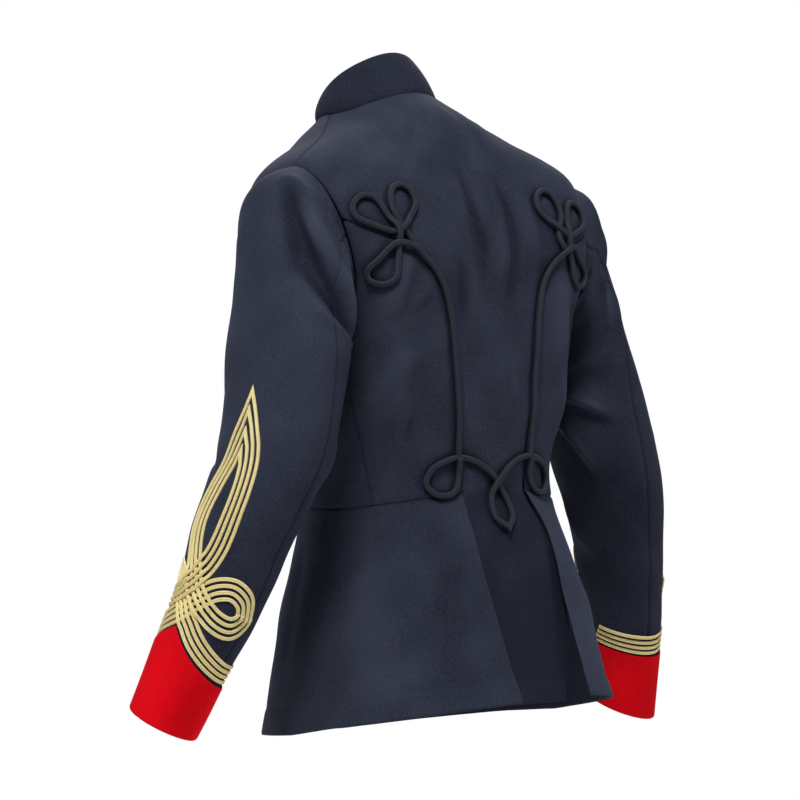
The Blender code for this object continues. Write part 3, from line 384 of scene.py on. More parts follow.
def smooth(stations, values, at):
    """Cubic through the rows of a table, with slopes from each row's neighbours."""
    at = np.asarray(at, float)
    slopes = np.gradient(values, stations, axis=0)
    row = np.clip(np.searchsorted(stations, at, side="right") - 1, 0, len(stations) - 2)
    gap = stations[row + 1] - stations[row]
    t = ((at - stations[row]) / gap)[..., None]
    gap = gap[..., None]
    return ((1 + 2 * t) * (1 - t) ** 2 * values[row] + t * (1 - t) ** 2 * gap * slopes[row]
            + t * t * (3 - 2 * t) * values[row + 1] - t * t * (1 - t) * gap * slopes[row + 1])


def ease(x):
    """Rise from 0 to 1 with level ends."""
    x = np.clip(x, 0.0, 1.0)
    return x * x * (3 - 2 * x)


def unit(vectors):
    """Vectors of length one."""
    return vectors / np.linalg.norm(vectors, axis=-1, keepdims=True)


def lengths(points, axis=0):
    """Length along a path, or along a grid's lines, from the first point to each."""
    step = np.linalg.norm(np.diff(points, axis=axis), axis=-1)
    start = np.zeros_like(np.take(step, [0], axis=axis))
    return np.concatenate((start, np.cumsum(step, axis=axis)), axis=axis)


def paired(first, second):
    """Two numbers or grids as arrays of one shape."""
    return np.broadcast_arrays(np.asarray(first, float), np.asarray(second, float))


def wheel(turn):
    """Sine and cosine of a turn in degrees."""
    return np.sin(np.radians(turn)), np.cos(np.radians(turn))


def bell(distance, reach):
    """One at no distance and little past a reach: e to the power of less their ratio squared."""
    return np.exp(-(distance / reach) ** 2)


def crowd(count):
    """Steps from 0 to 1, closest at both ends: half of one less the cosine."""
    return (1 - np.cos(np.linspace(0, np.pi, count))) / 2


def fold_height(table, spread, turn, along):
    """Sum of the table's folds: a bell across a bowed line, steeper on one side, fading at both ends."""
    across = turn * spread
    total = np.zeros(np.broadcast(across, along).shape)
    for turn_a, along_a, turn_b, along_b, width, height, bow, lean in table:
        run_a, run_b = (turn_b - turn_a) * spread, along_b - along_a
        length = math.hypot(run_a, run_b)
        rel_a, rel_b = across - turn_a * spread, along - along_a
        fade = np.clip(1 - (2 * (rel_a * run_a + rel_b * run_b) / length ** 2 - 1) ** 2, 0, 1)
        off = ((rel_a * run_b - rel_b * run_a) / length - bow * fade) / width
        total += height * fade * np.exp(-(off / (1 + lean * np.tanh(2 * off))) ** 2)
    for across_rate, along_rate, phase, height in RIPPLES:
        total += height * np.sin(2 * np.pi * (across * across_rate + along * along_rate) + phase)
    return total * bpy.context.scene.jacket_cloth.folds


TORSO_SPREAD = math.radians(0.16)
SLEEVE_SPREAD = math.radians(0.06)


def torso_form(turn, level):
    """Ring of rounded-square outline at each level: a superellipse with its own back and front half."""
    turn, level = paired(turn, level)
    row = np.moveaxis(smooth(TORSO[:, 0], TORSO[:, 1:], level), -1, 0)
    back_y, back_z, side_x, side_y, side_z, front_y, front_z, back_sq, front_sq, arch = row
    s, c = wheel(turn)
    depth = np.where(c >= 0, back_y - side_y, side_y - front_y)
    square = np.where(c >= 0, back_sq, front_sq)
    radius = (np.abs(s / side_x) ** square + np.abs(c / depth) ** square) ** (-1 / square)
    rise = np.where(c >= 0, back_z, front_z) - side_z
    return np.stack((radius * s, side_y + radius * c, side_z + rise * np.abs(c) ** arch), axis=-1)


def torso(turn, level, out=0.0):
    """Torso ring moved out along its normal by its folds and a given height."""
    turn, level = paired(turn, level)
    around = torso_form(turn + TURN_STEP, level) - torso_form(turn - TURN_STEP, level)
    up = torso_form(turn, level + STEP) - torso_form(turn, level - STEP)
    height = fold_height(TORSO_FOLDS, TORSO_SPREAD, turn, level)
    height = height * (NECK_FOLDS + (1 - NECK_FOLDS) * ease((NECK - level) / NECK_FADE))
    return torso_form(turn, level) + unit(np.cross(up, around)) * (height + out)[..., None]


def collar_form(turn, height):
    """Straight wall from the neck ring to the narrower top ring."""
    base = torso_form(turn, np.full(turn.shape, NECK))
    s, c = wheel(turn)
    back_y, back_z, side_x, side_y, side_z, front_y, front_z = COLLAR_TOP
    depth = np.where(c >= 0, back_y - side_y, side_y - front_y)
    rise = np.where(c >= 0, back_z - side_z, front_z - side_z)
    top = np.stack((side_x * s, side_y + depth * c, side_z + rise * np.abs(c)), axis=-1)
    return base + (top - base) * height[..., None]


def collar(turn, height, out):
    """Collar wall with a slight swell, moved out along its normal."""
    around = collar_form(turn + TURN_STEP, height) - collar_form(turn - TURN_STEP, height)
    up = collar_form(turn, height + STEP) - collar_form(turn, height - STEP)
    wave = COLLAR_WAVE * np.sin(np.radians(turn) * COLLAR_WAVES + COLLAR_PHASE)
    swell = COLLAR_SWELL * height * (1 - height) + wave * height
    return collar_form(turn, height) + unit(np.cross(up, around)) * (swell + out)[..., None]


ARM_MIDDLE = np.stack(((SLEEVE[:, 0] * 2 + SLEEVE[:, 2]) / 3, SLEEVE[:, 4],
                       (SLEEVE[:, 1] * 2 + SLEEVE[:, 3]) / 3), axis=-1)
SLEEVE_AT = lengths(ARM_MIDDLE)
SLEEVE_END = SLEEVE_AT[-1]


def armhole(turn, shrink=0.0):
    """Armhole edge at a turn round the arm, as turn and level on the torso: an oval with two reaches."""
    s, c = wheel(turn)
    reach = np.where(s >= 0, ARM_BACK, ARM_FRONT)
    return ARM_TURN + (ARM_LEAN * c - reach * s) * (1 - shrink), ARM_MID + ARM_HALF * c * (1 - shrink)


def sleeve_section(turn, down):
    """Oval across the arm: its outer and inner points and its depth come from the table."""
    row = smooth(SLEEVE_AT, SLEEVE, down)
    later = smooth(SLEEVE_AT, SLEEVE, down + 2 * STEP)
    outer, inner = row[..., [0, 4, 1]], row[..., [2, 4, 3]]
    middle = (outer + inner) / 2
    run = unit((later[..., [0, 4, 1]] + later[..., [2, 4, 3]]) / 2 - middle)
    back = unit(np.array((0.0, 1.0, 0.0)) - run * run[..., 1:2]) * row[..., 5:6]
    s, c = wheel(turn[..., None])
    return middle + (outer - inner) / 2 * c + back * s


def sleeve_form(turn, down):
    """The sections, drawn onto the armhole edge at the top."""
    edge = torso(*armhole(turn, -CAP_PASS))
    start = sleeve_section(turn, np.zeros(turn.shape))
    return sleeve_section(turn, down) + (edge - start) * (1 - ease(down / CAP_FADE))[..., None]


def sleeve_folds(name, turn, down):
    """Height of a sleeve's folds, none at the armhole and under the braid."""
    wrapped = (turn - FORE_SEAM) % 360 + FORE_SEAM
    height = fold_height(SLEEVE_FOLDS[name], SLEEVE_SPREAD, wrapped, down)
    return height * ease(down / FOLD_IN) * ease((SLEEVE_END - BRAID_CALM - down) / FOLD_OUT)


def sleeve(name, turn, down, out=0.0):
    """Sleeve moved out along its normal by its folds and a given height, in its place."""
    turn, down = paired(turn, down)
    around = sleeve_form(turn + SLEEVE_TURN_STEP, down) - sleeve_form(turn - SLEEVE_TURN_STEP, down)
    along = sleeve_form(turn, down + STEP) - sleeve_form(turn, down)
    height = sleeve_folds(name, turn, down) + out
    points = sleeve_form(turn, down) + unit(np.cross(along, around)) * height[..., None]
    if name == "left":
        return points
    hang = ease((down - RIGHT_FROM) / RIGHT_OVER)
    middle = smooth(SLEEVE_AT, SLEEVE[:, [0]] / 2 + SLEEVE[:, [2]] / 2, down)[..., 0]
    reach = hang[..., None] * np.array(RIGHT_REACH)
    reach[..., 2] -= hang * RIGHT_TILT * (points[..., 0] - middle)
    return (points + reach) * np.array((-1.0, 1.0, 1.0))


def girth_radius(down):
    """Mean radius of the sleeve, for turning lengths round it into turns."""
    row = smooth(SLEEVE_AT, SLEEVE, down)
    half = np.hypot(row[..., 0] - row[..., 2], row[..., 1] - row[..., 3]) / 2
    return np.sqrt((half ** 2 + row[..., 5] ** 2) / 2)


def cuff_top(turn):
    """Height of the cuff's upper edge at a turn from its point."""
    across = np.radians(np.abs((turn + 180) % 360 - 180)) * girth_radius(SLEEVE_END - KNOT_FOOT)
    return CUFF_LOW + (CUFF_POINT - CUFF_LOW) * np.clip(1 - across / CUFF_REACH, 0, 1) ** CUFF_CURVE


def grid_faces(index):
    """The four corners of each cell in a grid of point numbers."""
    return np.stack((index[:-1, :-1], index[:-1, 1:], index[1:, 1:], index[1:, :-1]), -1).reshape(-1, 4)


def numbers(rows, columns, closed):
    """Point numbers of a grid, where closed with the first column once more at the end."""
    index = np.arange(rows * columns).reshape(rows, columns)
    return np.column_stack((index, index[:, :1])) if closed else index


SHARP_EDGE = math.radians(42)


def add_object(name, points, faces, material, uv=None):
    """One smooth-shaded mesh object with a material and, where given, a UV for each face corner."""
    mesh = bpy.data.meshes.new(name)
    mesh.from_pydata(points.tolist(), [], faces)
    if uv is not None:
        mesh.uv_layers.new(name="UVMap").data.foreach_set("uv", uv.ravel())
    mesh.polygons.foreach_set("use_smooth", np.ones(len(mesh.polygons), bool))
    mesh.update()
    mesh.set_sharp_from_angle(angle=SHARP_EDGE)
    mesh.materials.append(material)
    piece = bpy.data.objects.new(name, mesh)
    bpy.context.scene.collection.objects.link(piece)
    return piece


def shell(name, outer, inner, material, painted_shading=0.0, closed=False, flip=False):
    """Closed cloth wall between an outer and an inner grid, joined round its rim, with painted shade and
    light on its nap and painted shade on its inside.
    """
    index = numbers(*outer.shape[:2], closed)
    count = outer[..., 0].size
    rims = [index[0][::-1], index[-1]]
    if not closed:
        rims += [index[:, 0], index[:, -1][::-1]]
    walls = [grid_faces(index), grid_faces(index)[:, ::-1] + count]
    walls += [np.stack((rim[:-1], rim[1:], rim[1:] + count, rim[:-1] + count), -1) for rim in rims]
    quads = np.concatenate(walls)
    if flip:
        quads = quads[:, ::-1]
    points = np.concatenate((outer.reshape(-1, 3), inner.reshape(-1, 3)))
    piece = add_object(name, points, quads.tolist(), material)
    shading_paint = np.broadcast_to(painted_shading, outer.shape[:2]).ravel()
    # the inside gets painted shade
    shading_paint = np.concatenate((shading_paint, np.full(shading_paint.shape, PAINTED_SHADE_AND_LIGHT["inside"])))
    piece.data.attributes.new("painted_shading", "FLOAT", "POINT").data.foreach_set("value", shading_paint)
    return piece


LEAST_MITRE = 0.18


def sweep(name, points, normals, profile, material):
    """Profile carried along a path, its across and up set out at each point and mitred at corners."""
    step = unit(np.diff(points, axis=0))
    after = np.concatenate((step, step[-1:]))
    tangent = unit(np.concatenate((step[:1], step)) + after)
    side = unit(np.cross(normals, tangent))
    stretch = 1 / np.clip(np.einsum("ij,ij->i", tangent, after), LEAST_MITRE, 1)
    across = profile[None, :, :1] * (side * stretch[:, None])[:, None, :]
    ring = points[:, None, :] + across + profile[None, :, 1:] * normals[:, None, :]
    rows, columns = ring.shape[:2]
    index = numbers(rows, columns, True)
    caps = [index[0, -2::-1].tolist(), index[-1, :-1].tolist()]
    place = np.stack(np.meshgrid(np.arange(columns + 1) / columns, lengths(points)), -1).reshape(-1, 2)
    uv = place[grid_faces(numbers(rows, columns + 1, False)).ravel()]
    uv = np.concatenate((uv, np.zeros((2 * columns, 2))))
    return add_object(name, ring.reshape(-1, 3), grid_faces(index).tolist() + caps, material, uv)


FINE_STEPS = 80


def curve_through(knots, spacing):
    """Smooth flat curve through a short list of points, evenly sampled."""
    knots = np.asarray(knots, float)
    at = np.append(0.0, np.cumsum(np.sqrt(np.linalg.norm(np.diff(knots, axis=0), axis=1))))
    fine = smooth(at, knots, np.linspace(0, at[-1], FINE_STEPS * len(knots)))
    run = lengths(fine)
    even = np.linspace(0, run[-1], int(run[-1] / spacing) + 1)
    return np.stack([np.interp(even, run, fine[:, k]) for k in range(fine.shape[1])], axis=-1)


def widen(height, reach):
    """Greatest height within a reach of steps to either side, then its mean over the same reach."""
    padded = np.pad(height, reach, mode="edge")
    widest = np.max([padded[k:k + len(height)] for k in range(2 * reach + 1)], axis=0)
    padded = np.pad(widest, reach, mode="edge")
    return np.mean([padded[k:k + len(height)] for k in range(2 * reach + 1)], axis=0)


def need_over(flat, laid, reach, rise):
    """Height that a flat path needs to pass over the paths laid before it."""
    need = np.zeros(len(flat))
    for other, height in laid:
        near = np.linalg.norm(flat[:, None, :] - other[None, :, :], axis=-1) < reach
        need = np.maximum(need, np.where(near, height[None, :] + rise, 0).max(axis=1))
    return need


def edge_shape(points, edges, cloth, pressed=1.0):
    """Outer and inner offsets near the four edges: a seam sinks, a free edge is rounded.

    edges names, for the grid's first and last row and first and last column, seam or free.
    Each offset is a depth times a bell of the length from that edge; pressed is a seam's share of it.
    """
    outer = np.zeros(points.shape[:2])
    inner = np.full(points.shape[:2], -cloth.thickness)
    for axis, names in ((0, edges[:2]), (1, edges[2:])):
        run = lengths(points, axis)
        far = np.take(run, [-1], axis=axis) - run
        for name, distance in zip(names, (run, far)):
            if name == "seam":
                dip = cloth.seam_depth * bell(distance, cloth.seam_reach)
                outer -= pressed * (dip + cloth.seam_line * bell(distance, STITCH))
            else:
                rounding = EDGE_ROUND * cloth.thickness * bell(distance, EDGE_REACH)
                outer -= rounding
                inner += rounding
    return outer, np.minimum(inner, outer - LEAST_WALL)


def seam_turn(table, level):
    """Turn of a seam at each level."""
    return smooth(table[:, 0], table[:, 1:], level)[..., 0]


def armhole_turn(level, reach):
    """Turn of the armhole's edge at each level, towards the back or, with a reach below zero, the front."""
    c = np.clip((level - ARM_MID) / ARM_HALF, -1, 1)
    return ARM_TURN + ARM_LEAN * c - reach * np.sqrt(1 - c * c)


def node_group(name, inputs, outputs):
    """New shader group: name, kind and default of each input socket, name and kind of each output socket."""
    group = bpy.data.node_groups.new(name, "ShaderNodeTree")
    for label, kind, value in inputs:
        socket = group.interface.new_socket(label, in_out="INPUT", socket_type="NodeSocket" + kind)
        socket.default_value = value
    for label, kind in outputs:
        group.interface.new_socket(label, in_out="OUTPUT", socket_type="NodeSocket" + kind)
    return group, group.nodes.new("NodeGroupInput"), group.nodes.new("NodeGroupOutput")


def maths(tree, operation, first, second=None):
    """Math node on two sockets or numbers; returns its output."""
    node = tree.nodes.new("ShaderNodeMath")
    node.operation = operation
    for socket, value in zip(node.inputs, (first, second)):
        if isinstance(value, (int, float)):
            socket.default_value = value
        elif value is not None:
            tree.links.new(value, socket)
    return node.outputs[0]


def blend_colour(tree, share, first, second):
    """Mix of two colour sockets by a share."""
    node = tree.nodes.new("ShaderNodeMix")
    node.data_type = "RGBA"
    tree.links.new(share, node.inputs[0])
    tree.links.new(first, node.inputs[6])
    tree.links.new(second, node.inputs[7])
    return node.outputs[2]


def noise(tree, vector, scale, detail=3.0, rough=0.55):
    """Noise on a vector socket; returns its value."""
    node = tree.nodes.new("ShaderNodeTexNoise")
    node.inputs["Detail"].default_value = detail
    node.inputs["Roughness"].default_value = rough
    tree.links.new(vector, node.inputs["Vector"])
    if isinstance(scale, (int, float)):
        node.inputs["Scale"].default_value = scale
    else:
        tree.links.new(scale, node.inputs["Scale"])
    return node.outputs["Fac"]


def band(tree, value, low, high):
    """Value stretched so that low becomes 0 and high becomes 1, clamped."""
    node = tree.nodes.new("ShaderNodeMapRange")
    node.inputs["From Min"].default_value = low
    node.inputs["From Max"].default_value = high
    tree.links.new(value, node.inputs["Value"])
    return node.outputs["Result"]


# what both groups put out
SURFACE = (("Color", "Color"), ("Roughness", "Float"), ("Height", "Float"))


def put_out(group, result, *values):
    """Joins the colour, roughness and height of a group to its outputs."""
    for (label, _), value in zip(SURFACE, values):
        group.links.new(value, result.inputs[label])


def nap_group():
    """Milled wool: fine fibres, soft mottling, large patches, painted shade in hollows and painted light on
    ridges, and a few pale stray fibres.

    The nap's share of the colour is the painted shade and light and three noises, each stretched from a low
    to a high value, by their weights.
    """
    group, source, result = node_group(
        "Wool nap",
        (("Ground", "Color", (0, 0, 0, 1)), ("Nap", "Color", (1, 1, 1, 1)), ("Lint", "Color", (1, 1, 1, 1)),
         ("Fibre Scale", "Float", 900.0), ("Lint Share", "Float", 0.4)), SURFACE)
    times, plus = partial(maths, group, "MULTIPLY"), partial(maths, group, "ADD")
    place = group.nodes.new("ShaderNodeTexCoord").outputs["Object"]
    fibre = noise(group, place, source.outputs["Fibre Scale"], detail=4.0, rough=0.65)
    mottle = noise(group, place, scale=380.0)
    patch = noise(group, place, scale=17.0, detail=2.0)
    # painted shade and light from the attribute shift the nap's share
    shading_paint = group.nodes.new("ShaderNodeAttribute")
    shading_paint.attribute_name = "painted_shading"
    share = times(shading_paint.outputs["Fac"], 0.46)
    layers = ((fibre, 0.30, 0.72, 0.50), (mottle, 0.32, 0.68, 0.34), (patch, 0.30, 0.70, 0.22))
    for layer, low, high, weight in layers:
        share = plus(share, times(band(group, layer, low, high), weight))
    colour = blend_colour(group, share, source.outputs["Ground"], source.outputs["Nap"])
    fleck = band(group, noise(group, place, scale=330.0, detail=1.0), low=0.775, high=0.83)
    fleck = times(fleck, source.outputs["Lint Share"])
    colour = blend_colour(group, fleck, colour, source.outputs["Lint"])
    rough = plus(times(mottle, 0.14), 0.82)
    put_out(group, result, colour, rough, plus(fibre, times(mottle, 0.8)))
    return group


# turn of a cord's UV that lies on top
PLAIT_TOP = 0.25


def plait_group():
    """Plaited thread on the piece's own UV: slanting strands that meet in chevrons, sunk grooves between in a
    darker colour that is painted shade.

    A strand's height is a zigzag of the length along, pushed on by a zigzag of the turn round. Where asked,
    painted shade darkens the thread towards the cord's sides and in a line along its top, where its flanks
    and furrow lie in shade.
    """
    group, source, result = node_group(
        "Plait",
        (("Thread", "Color", (1, 1, 1, 1)), ("Painted Groove Shade", "Color", (0, 0, 0, 1)), ("Pitch", "Float", 400.0),
         ("Slant", "Float", 3.0), ("Chevrons", "Float", 2.0), ("Roughness Base", "Float", 0.5),
         ("Painted Shade", "Float", 0.0)), SURFACE)
    times, plus = partial(maths, group, "MULTIPLY"), partial(maths, group, "ADD")
    zigzag, minus = partial(maths, group, "PINGPONG"), partial(maths, group, "SUBTRACT")
    split = group.nodes.new("ShaderNodeSeparateXYZ")
    group.links.new(group.nodes.new("ShaderNodeUVMap").outputs["UV"], split.inputs[0])
    turn, along = split.outputs["X"], split.outputs["Y"]
    slant = times(zigzag(times(turn, source.outputs["Chevrons"]), 0.5), source.outputs["Slant"])
    phase = plus(times(along, source.outputs["Pitch"]), slant)
    height = band(group, zigzag(phase, 0.5), low=0.02, high=0.40)
    hair = noise(group, group.nodes.new("ShaderNodeTexCoord").outputs["Object"], scale=1400.0)
    share = times(height, plus(times(hair, 0.5), 0.70))
    # painted shade on the cord's flanks and in a line along its top
    flank = maths(group, "ABSOLUTE", minus(turn, PLAIT_TOP))
    sides, line = band(group, flank, low=0.19, high=0.25), band(group, flank, low=0.09, high=0.03)
    painted_shade = times(plus(sides, times(line, 0.5)), source.outputs["Painted Shade"])
    share = times(share, minus(1.0, painted_shade))
    # the groove colour between the strands is painted shade
    colour = blend_colour(group, share, source.outputs["Painted Groove Shade"], source.outputs["Thread"])
    rough = plus(source.outputs["Roughness Base"], times(hair, 0.16))
    put_out(group, result, colour, rough, plus(height, times(hair, 0.25)))
    return group


def finish(name, group, values, bump, settings):
    """Material: a group's colour, roughness and bump on a Principled shader with its own plain settings."""
    if name in bpy.data.materials:
        return bpy.data.materials[name]
    if group in bpy.data.node_groups:
        made = bpy.data.node_groups[group]
    else:
        made = nap_group() if group == "Wool nap" else plait_group()
    material = bpy.data.materials.new(name)
    material.use_nodes = True
    tree = material.node_tree
    shader = tree.nodes["Principled BSDF"]
    node = tree.nodes.new("ShaderNodeGroup")
    node.node_tree = made
    for label, value in values.items():
        node.inputs[label].default_value = value
    relief = tree.nodes.new("ShaderNodeBump")
    relief.inputs["Strength"].default_value, relief.inputs["Distance"].default_value = bump
    tree.links.new(node.outputs["Color"], shader.inputs["Base Color"])
    tree.links.new(node.outputs["Roughness"], shader.inputs["Roughness"])
    tree.links.new(node.outputs["Height"], relief.inputs["Height"])
    tree.links.new(relief.outputs["Normal"], shader.inputs["Normal"])
    for label, value in settings.items():
        shader.inputs[label].default_value = value
    return material


def navy_wool():
    """Dark blue milled wool."""
    colours = bpy.context.scene.jacket_colours
    values = {"Ground": colours.navy, "Nap": colours.navy_nap, "Lint": colours.lint, "Lint Share": 0.20}
    settings = {"Sheen Weight": 0.05, "Sheen Roughness": 0.45, "Sheen Tint": (0.55, 0.66, 1.0, 1.0),
                "Specular IOR Level": 0.10}
    return finish("Navy wool", "Wool nap", values, (0.35, 0.0006), settings)


def scarlet_wool():
    """Scarlet milled wool."""
    colours = bpy.context.scene.jacket_colours
    values = {"Ground": colours.scarlet, "Nap": colours.scarlet_nap, "Lint": colours.scarlet_nap,
              "Lint Share": 0.2}
    settings = {"Sheen Weight": 0.05, "Sheen Roughness": 0.5, "Sheen Tint": (1.0, 0.10, 0.10, 1.0),
                "Specular IOR Level": 0.05}
    return finish("Scarlet wool", "Wool nap", values, (0.35, 0.0006), settings)


def black_cord():
    """Plaited worsted cord."""
    colours = bpy.context.scene.jacket_colours
    values = {"Thread": colours.cord, "Painted Groove Shade": colours.cord_groove_shade, "Pitch": 430.0, "Slant": 2.4,
              "Chevrons": 4.0, "Roughness Base": 0.66, "Painted Shade": 1.0}
    settings = {"Sheen Weight": 0.06, "Sheen Roughness": 0.5, "Sheen Tint": (0.55, 0.66, 1.0, 1.0),
                "Specular IOR Level": 0.12}
    return finish("Black cord", "Plait", values, (0.5, 0.0007), settings)


def gold_braid():
    """Gilt thread braid."""
    colours = bpy.context.scene.jacket_colours
    values = {"Thread": colours.gold, "Painted Groove Shade": colours.gold_groove_shade, "Pitch": 520.0, "Slant": 3.6,
              "Chevrons": 4.0, "Roughness Base": 0.36}
    settings = {"Metallic": 0.06, "Specular IOR Level": 0.5}
    return finish("Gold braid", "Plait", values, (0.45, 0.0004), settings)


def dress(piece, node):
    """Sets a piece in the place of its solid, which it hides, and hangs it from the root body."""
    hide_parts(node)
    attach(piece, "root")


def cord_runs():
    """Flat runs of the cord: left and right trefoil with their stems, and the waist loops' left half."""
    left, right = trefoil(TREFOIL_SHIFT["left"]), trefoil(TREFOIL_SHIFT["right"]) * (-1, 1)
    return left, right, curve_through(WAIST_LOOP, PATH_STEP)[::-1]


def cord_path():
    """Turn and level all along the cord, from the left trefoil over the waist to the right one."""
    left, right, lower = cord_runs()
    flat = np.concatenate((left[:-1], lower[::-1][:-1], (lower * (-1, 1))[:-1], right[::-1]))
    return on_back(flat[:, 0], flat[:, 1])


def beside_cord(points):
    """Share from 0 to 1 by which a grid's points lie at the cord: a bell over the distance to its path."""
    foot = torso(*cord_path())[::2]
    gap = np.stack([np.linalg.norm(row[:, None] - foot[None], axis=-1).min(axis=1) for row in points])
    return bell(gap, CORD_BED)


def painted_fold_shading(height, deep, sunk, cloth):
    """Painted shade and light of the nap: fold height over a depth, from -1 to 1, dark in troughs and pale on
    ridges, and a share of the seams' sink as painted shade in their grooves.
    """
    seams = np.clip(sunk / (cloth.seam_depth + cloth.seam_line), -1, 0)
    return np.clip(height / deep, -1, 1) + SEAM_SHADE * seams


def torso_panel(node, turns, levels, edges, side, lift=0.0, shading_paint=0.0):
    """Torso panel on its grid: edges shaped, drawn in along the cord with painted shade beside it, where
    given lifted and with more painted shade and light.
    """
    cloth = bpy.context.scene.jacket_cloth
    turns, levels = np.broadcast_arrays(turns * side, levels)
    base = torso(turns, levels)
    pressed = 1 - PRESSED * bell(levels - SHOULDER_SOFT, SHOULDER_REACH)
    outer, inner = edge_shape(base, edges, cloth, pressed)
    hem = HEM_RISE * ease((cloth.hem - levels) / HEM_OVER)
    hem = hem - HEM_STITCH * bell(levels - cloth.hem - HEM_STITCH_AT, HEM_STITCH_REACH)
    folds = fold_height(TORSO_FOLDS, TORSO_SPREAD, turns, levels)
    drawn = beside_cord(base)
    # painted shade in troughs and seams, painted light on ridges, painted shade beside the cord
    painted_shading = painted_fold_shading(folds, TORSO_DEEP, outer, cloth) + shading_paint + PAINTED_SHADE_AND_LIGHT["cord"] * drawn
    outer = outer - CORD_BED_DEPTH * drawn
    piece = shell(node + "_cloth", torso(turns, levels, outer + lift + hem),
                  torso(turns, levels, inner + lift), navy_wool(), painted_shading, flip=side > 0)
    dress(piece, node)


def inset(low, high, columns):
    """Turns from edge to edge, closest at the edges, a hair past the seams so that they close."""
    return (low - SEAM_PASS)[:, None] + (high - low + 2 * SEAM_PASS)[:, None] * crowd(columns)[None, :]


def body_levels():
    """Levels from the waist to the armhole, up the armhole and over the shoulder."""
    below = WAIST + (ARM_LOW - WAIST) * crowd(ROWS["below"])
    beside = ARM_MID - ARM_HALF * np.cos(np.linspace(0, np.pi, ROWS["beside"]))
    above = np.linspace(ARM_TOP, NECK, ROWS["above"])
    return np.concatenate((below[:-1], beside[:-1], above))


def over_shoulder(levels, edge):
    """Turns of a panel's edge, which above the armhole is the shoulder seam."""
    return np.where(levels > ARM_TOP, seam_turn(SHOULDER_SEAM, np.maximum(levels, ARM_TOP)), edge)


def tail_drop(level):
    """Sink of the tail under the skirts, eased in from above the waist."""
    return -TAIL_LAP * ease((WAIST + TAIL_SINK - level) / TAIL_SINK)


def front_lift(turns, side):
    """Lift of the left pieces where they lap over the right ones, eased in towards the centre front."""
    return LAP * ease((turns - LAP_FROM) / LAP_OVER) * (side > 0)


class JACKET_OT_back(Operator):
    """Builds the centre back, neck to hem in one, with its tail under the skirts"""
    bl_idname = "jacket.back"
    bl_label = "Back"

    def execute(self, context):
        levels = np.concatenate((WAIST * crowd(ROWS["tail"])[:-1], body_levels()))
        edge = np.where(levels < WAIST, seam_turn(TAIL_EDGE, np.minimum(levels, WAIST)),
                        seam_turn(BACK_SEAM, np.clip(levels, WAIST, ARM_JOINT)))
        edge = np.where(levels > ARM_JOINT, armhole_turn(levels, ARM_BACK), edge)
        edge = over_shoulder(levels, edge)
        turns, levels = inset(-edge, edge, COLUMNS["back"]), levels[:, None]
        # painted shade on the tail, which lies sunk in shadow between the skirts
        shading_paint = PAINTED_SHADE_AND_LIGHT["tail"] * ease((WAIST + TAIL_SHADE - levels) / (2 * TAIL_SHADE))
        torso_panel("back", turns, levels, ("free", "seam", "seam", "seam"), 1,
                    tail_drop(levels), shading_paint)
        return {"FINISHED"}


class JACKET_OT_bodies(Operator):
    """Builds the side bodies and the fronts"""
    bl_idname = "jacket.bodies"
    bl_label = "Side bodies and fronts"

    def execute(self, context):
        levels = body_levels()
        seam = seam_turn(SIDE_SEAM, np.minimum(levels, ARM_LOW))
        below = levels[levels < ARM_JOINT - JOINT_CLEAR]
        low = seam_turn(BACK_SEAM, below)
        high = np.where(below < ARM_LOW, seam[:len(below)], armhole_turn(below, ARM_BACK))
        front = np.where(levels < ARM_LOW, seam, armhole_turn(levels, -ARM_FRONT))
        front = over_shoulder(levels, front)
        for name, side in SIDES:
            turns = inset(low, high, COLUMNS["side_body"])
            torso_panel("side_body_" + name, turns, below[:, None], ("seam",) * 4, side)
            turns = inset(front, np.full(front.shape, 180 + FRONT_LAP), COLUMNS["front"])
            torso_panel("front_" + name, turns, levels[:, None], ("seam", "seam", "seam", "free"), side,
                        front_lift(turns, side))
        return {"FINISHED"}


class JACKET_OT_skirts(Operator):
    """Builds the two skirts, the right one standing away from the tail"""
    bl_idname = "jacket.skirts"
    bl_label = "Skirts"

    def execute(self, context):
        levels = WAIST * crowd(ROWS["skirt"])
        for name, side in SIDES:
            low = seam_turn(SKIRT_EDGE[name], levels)
            turns = inset(low, np.full(low.shape, 180 + FRONT_LAP), COLUMNS["skirt"])
            near = 1 - ease((turns - low[:, None]) / KICK_TURN)
            kick = KICK[name] * near * (1 - levels[:, None] / WAIST) ** KICK_CURVE
            # painted light on the right skirt's rear strip beside the slit
            torso_panel("skirt_" + name, turns, levels[:, None], ("free", "seam", "free", "free"), side,
                        front_lift(turns, side) + kick, PAINTED_SHADE_AND_LIGHT["slit"] * near * (side < 0))
        return {"FINISHED"}


class JACKET_OT_collar(Operator):
    """Builds the stand collar, open at the centre front"""
    bl_idname = "jacket.collar"
    bl_label = "Collar"

    def execute(self, context):
        cloth = context.scene.jacket_cloth
        turns, heights = np.meshgrid(np.linspace(-COLLAR_END, COLLAR_END, COLUMNS["collar"]),
                                     COLLAR_FOOT + (1 - COLLAR_FOOT) * crowd(ROWS["collar"]))
        outer, inner = edge_shape(collar(turns, heights, 0.0), ("seam", "free", "free", "free"), cloth)
        inner = inner - (cloth.collar - cloth.thickness)
        # painted shade on the collar
        piece = shell("collar_cloth", collar(turns, heights, outer), collar(turns, heights, inner),
                      navy_wool(), PAINTED_SHADE_AND_LIGHT["collar"], flip=True)
        dress(piece, "collar")
        return {"FINISHED"}


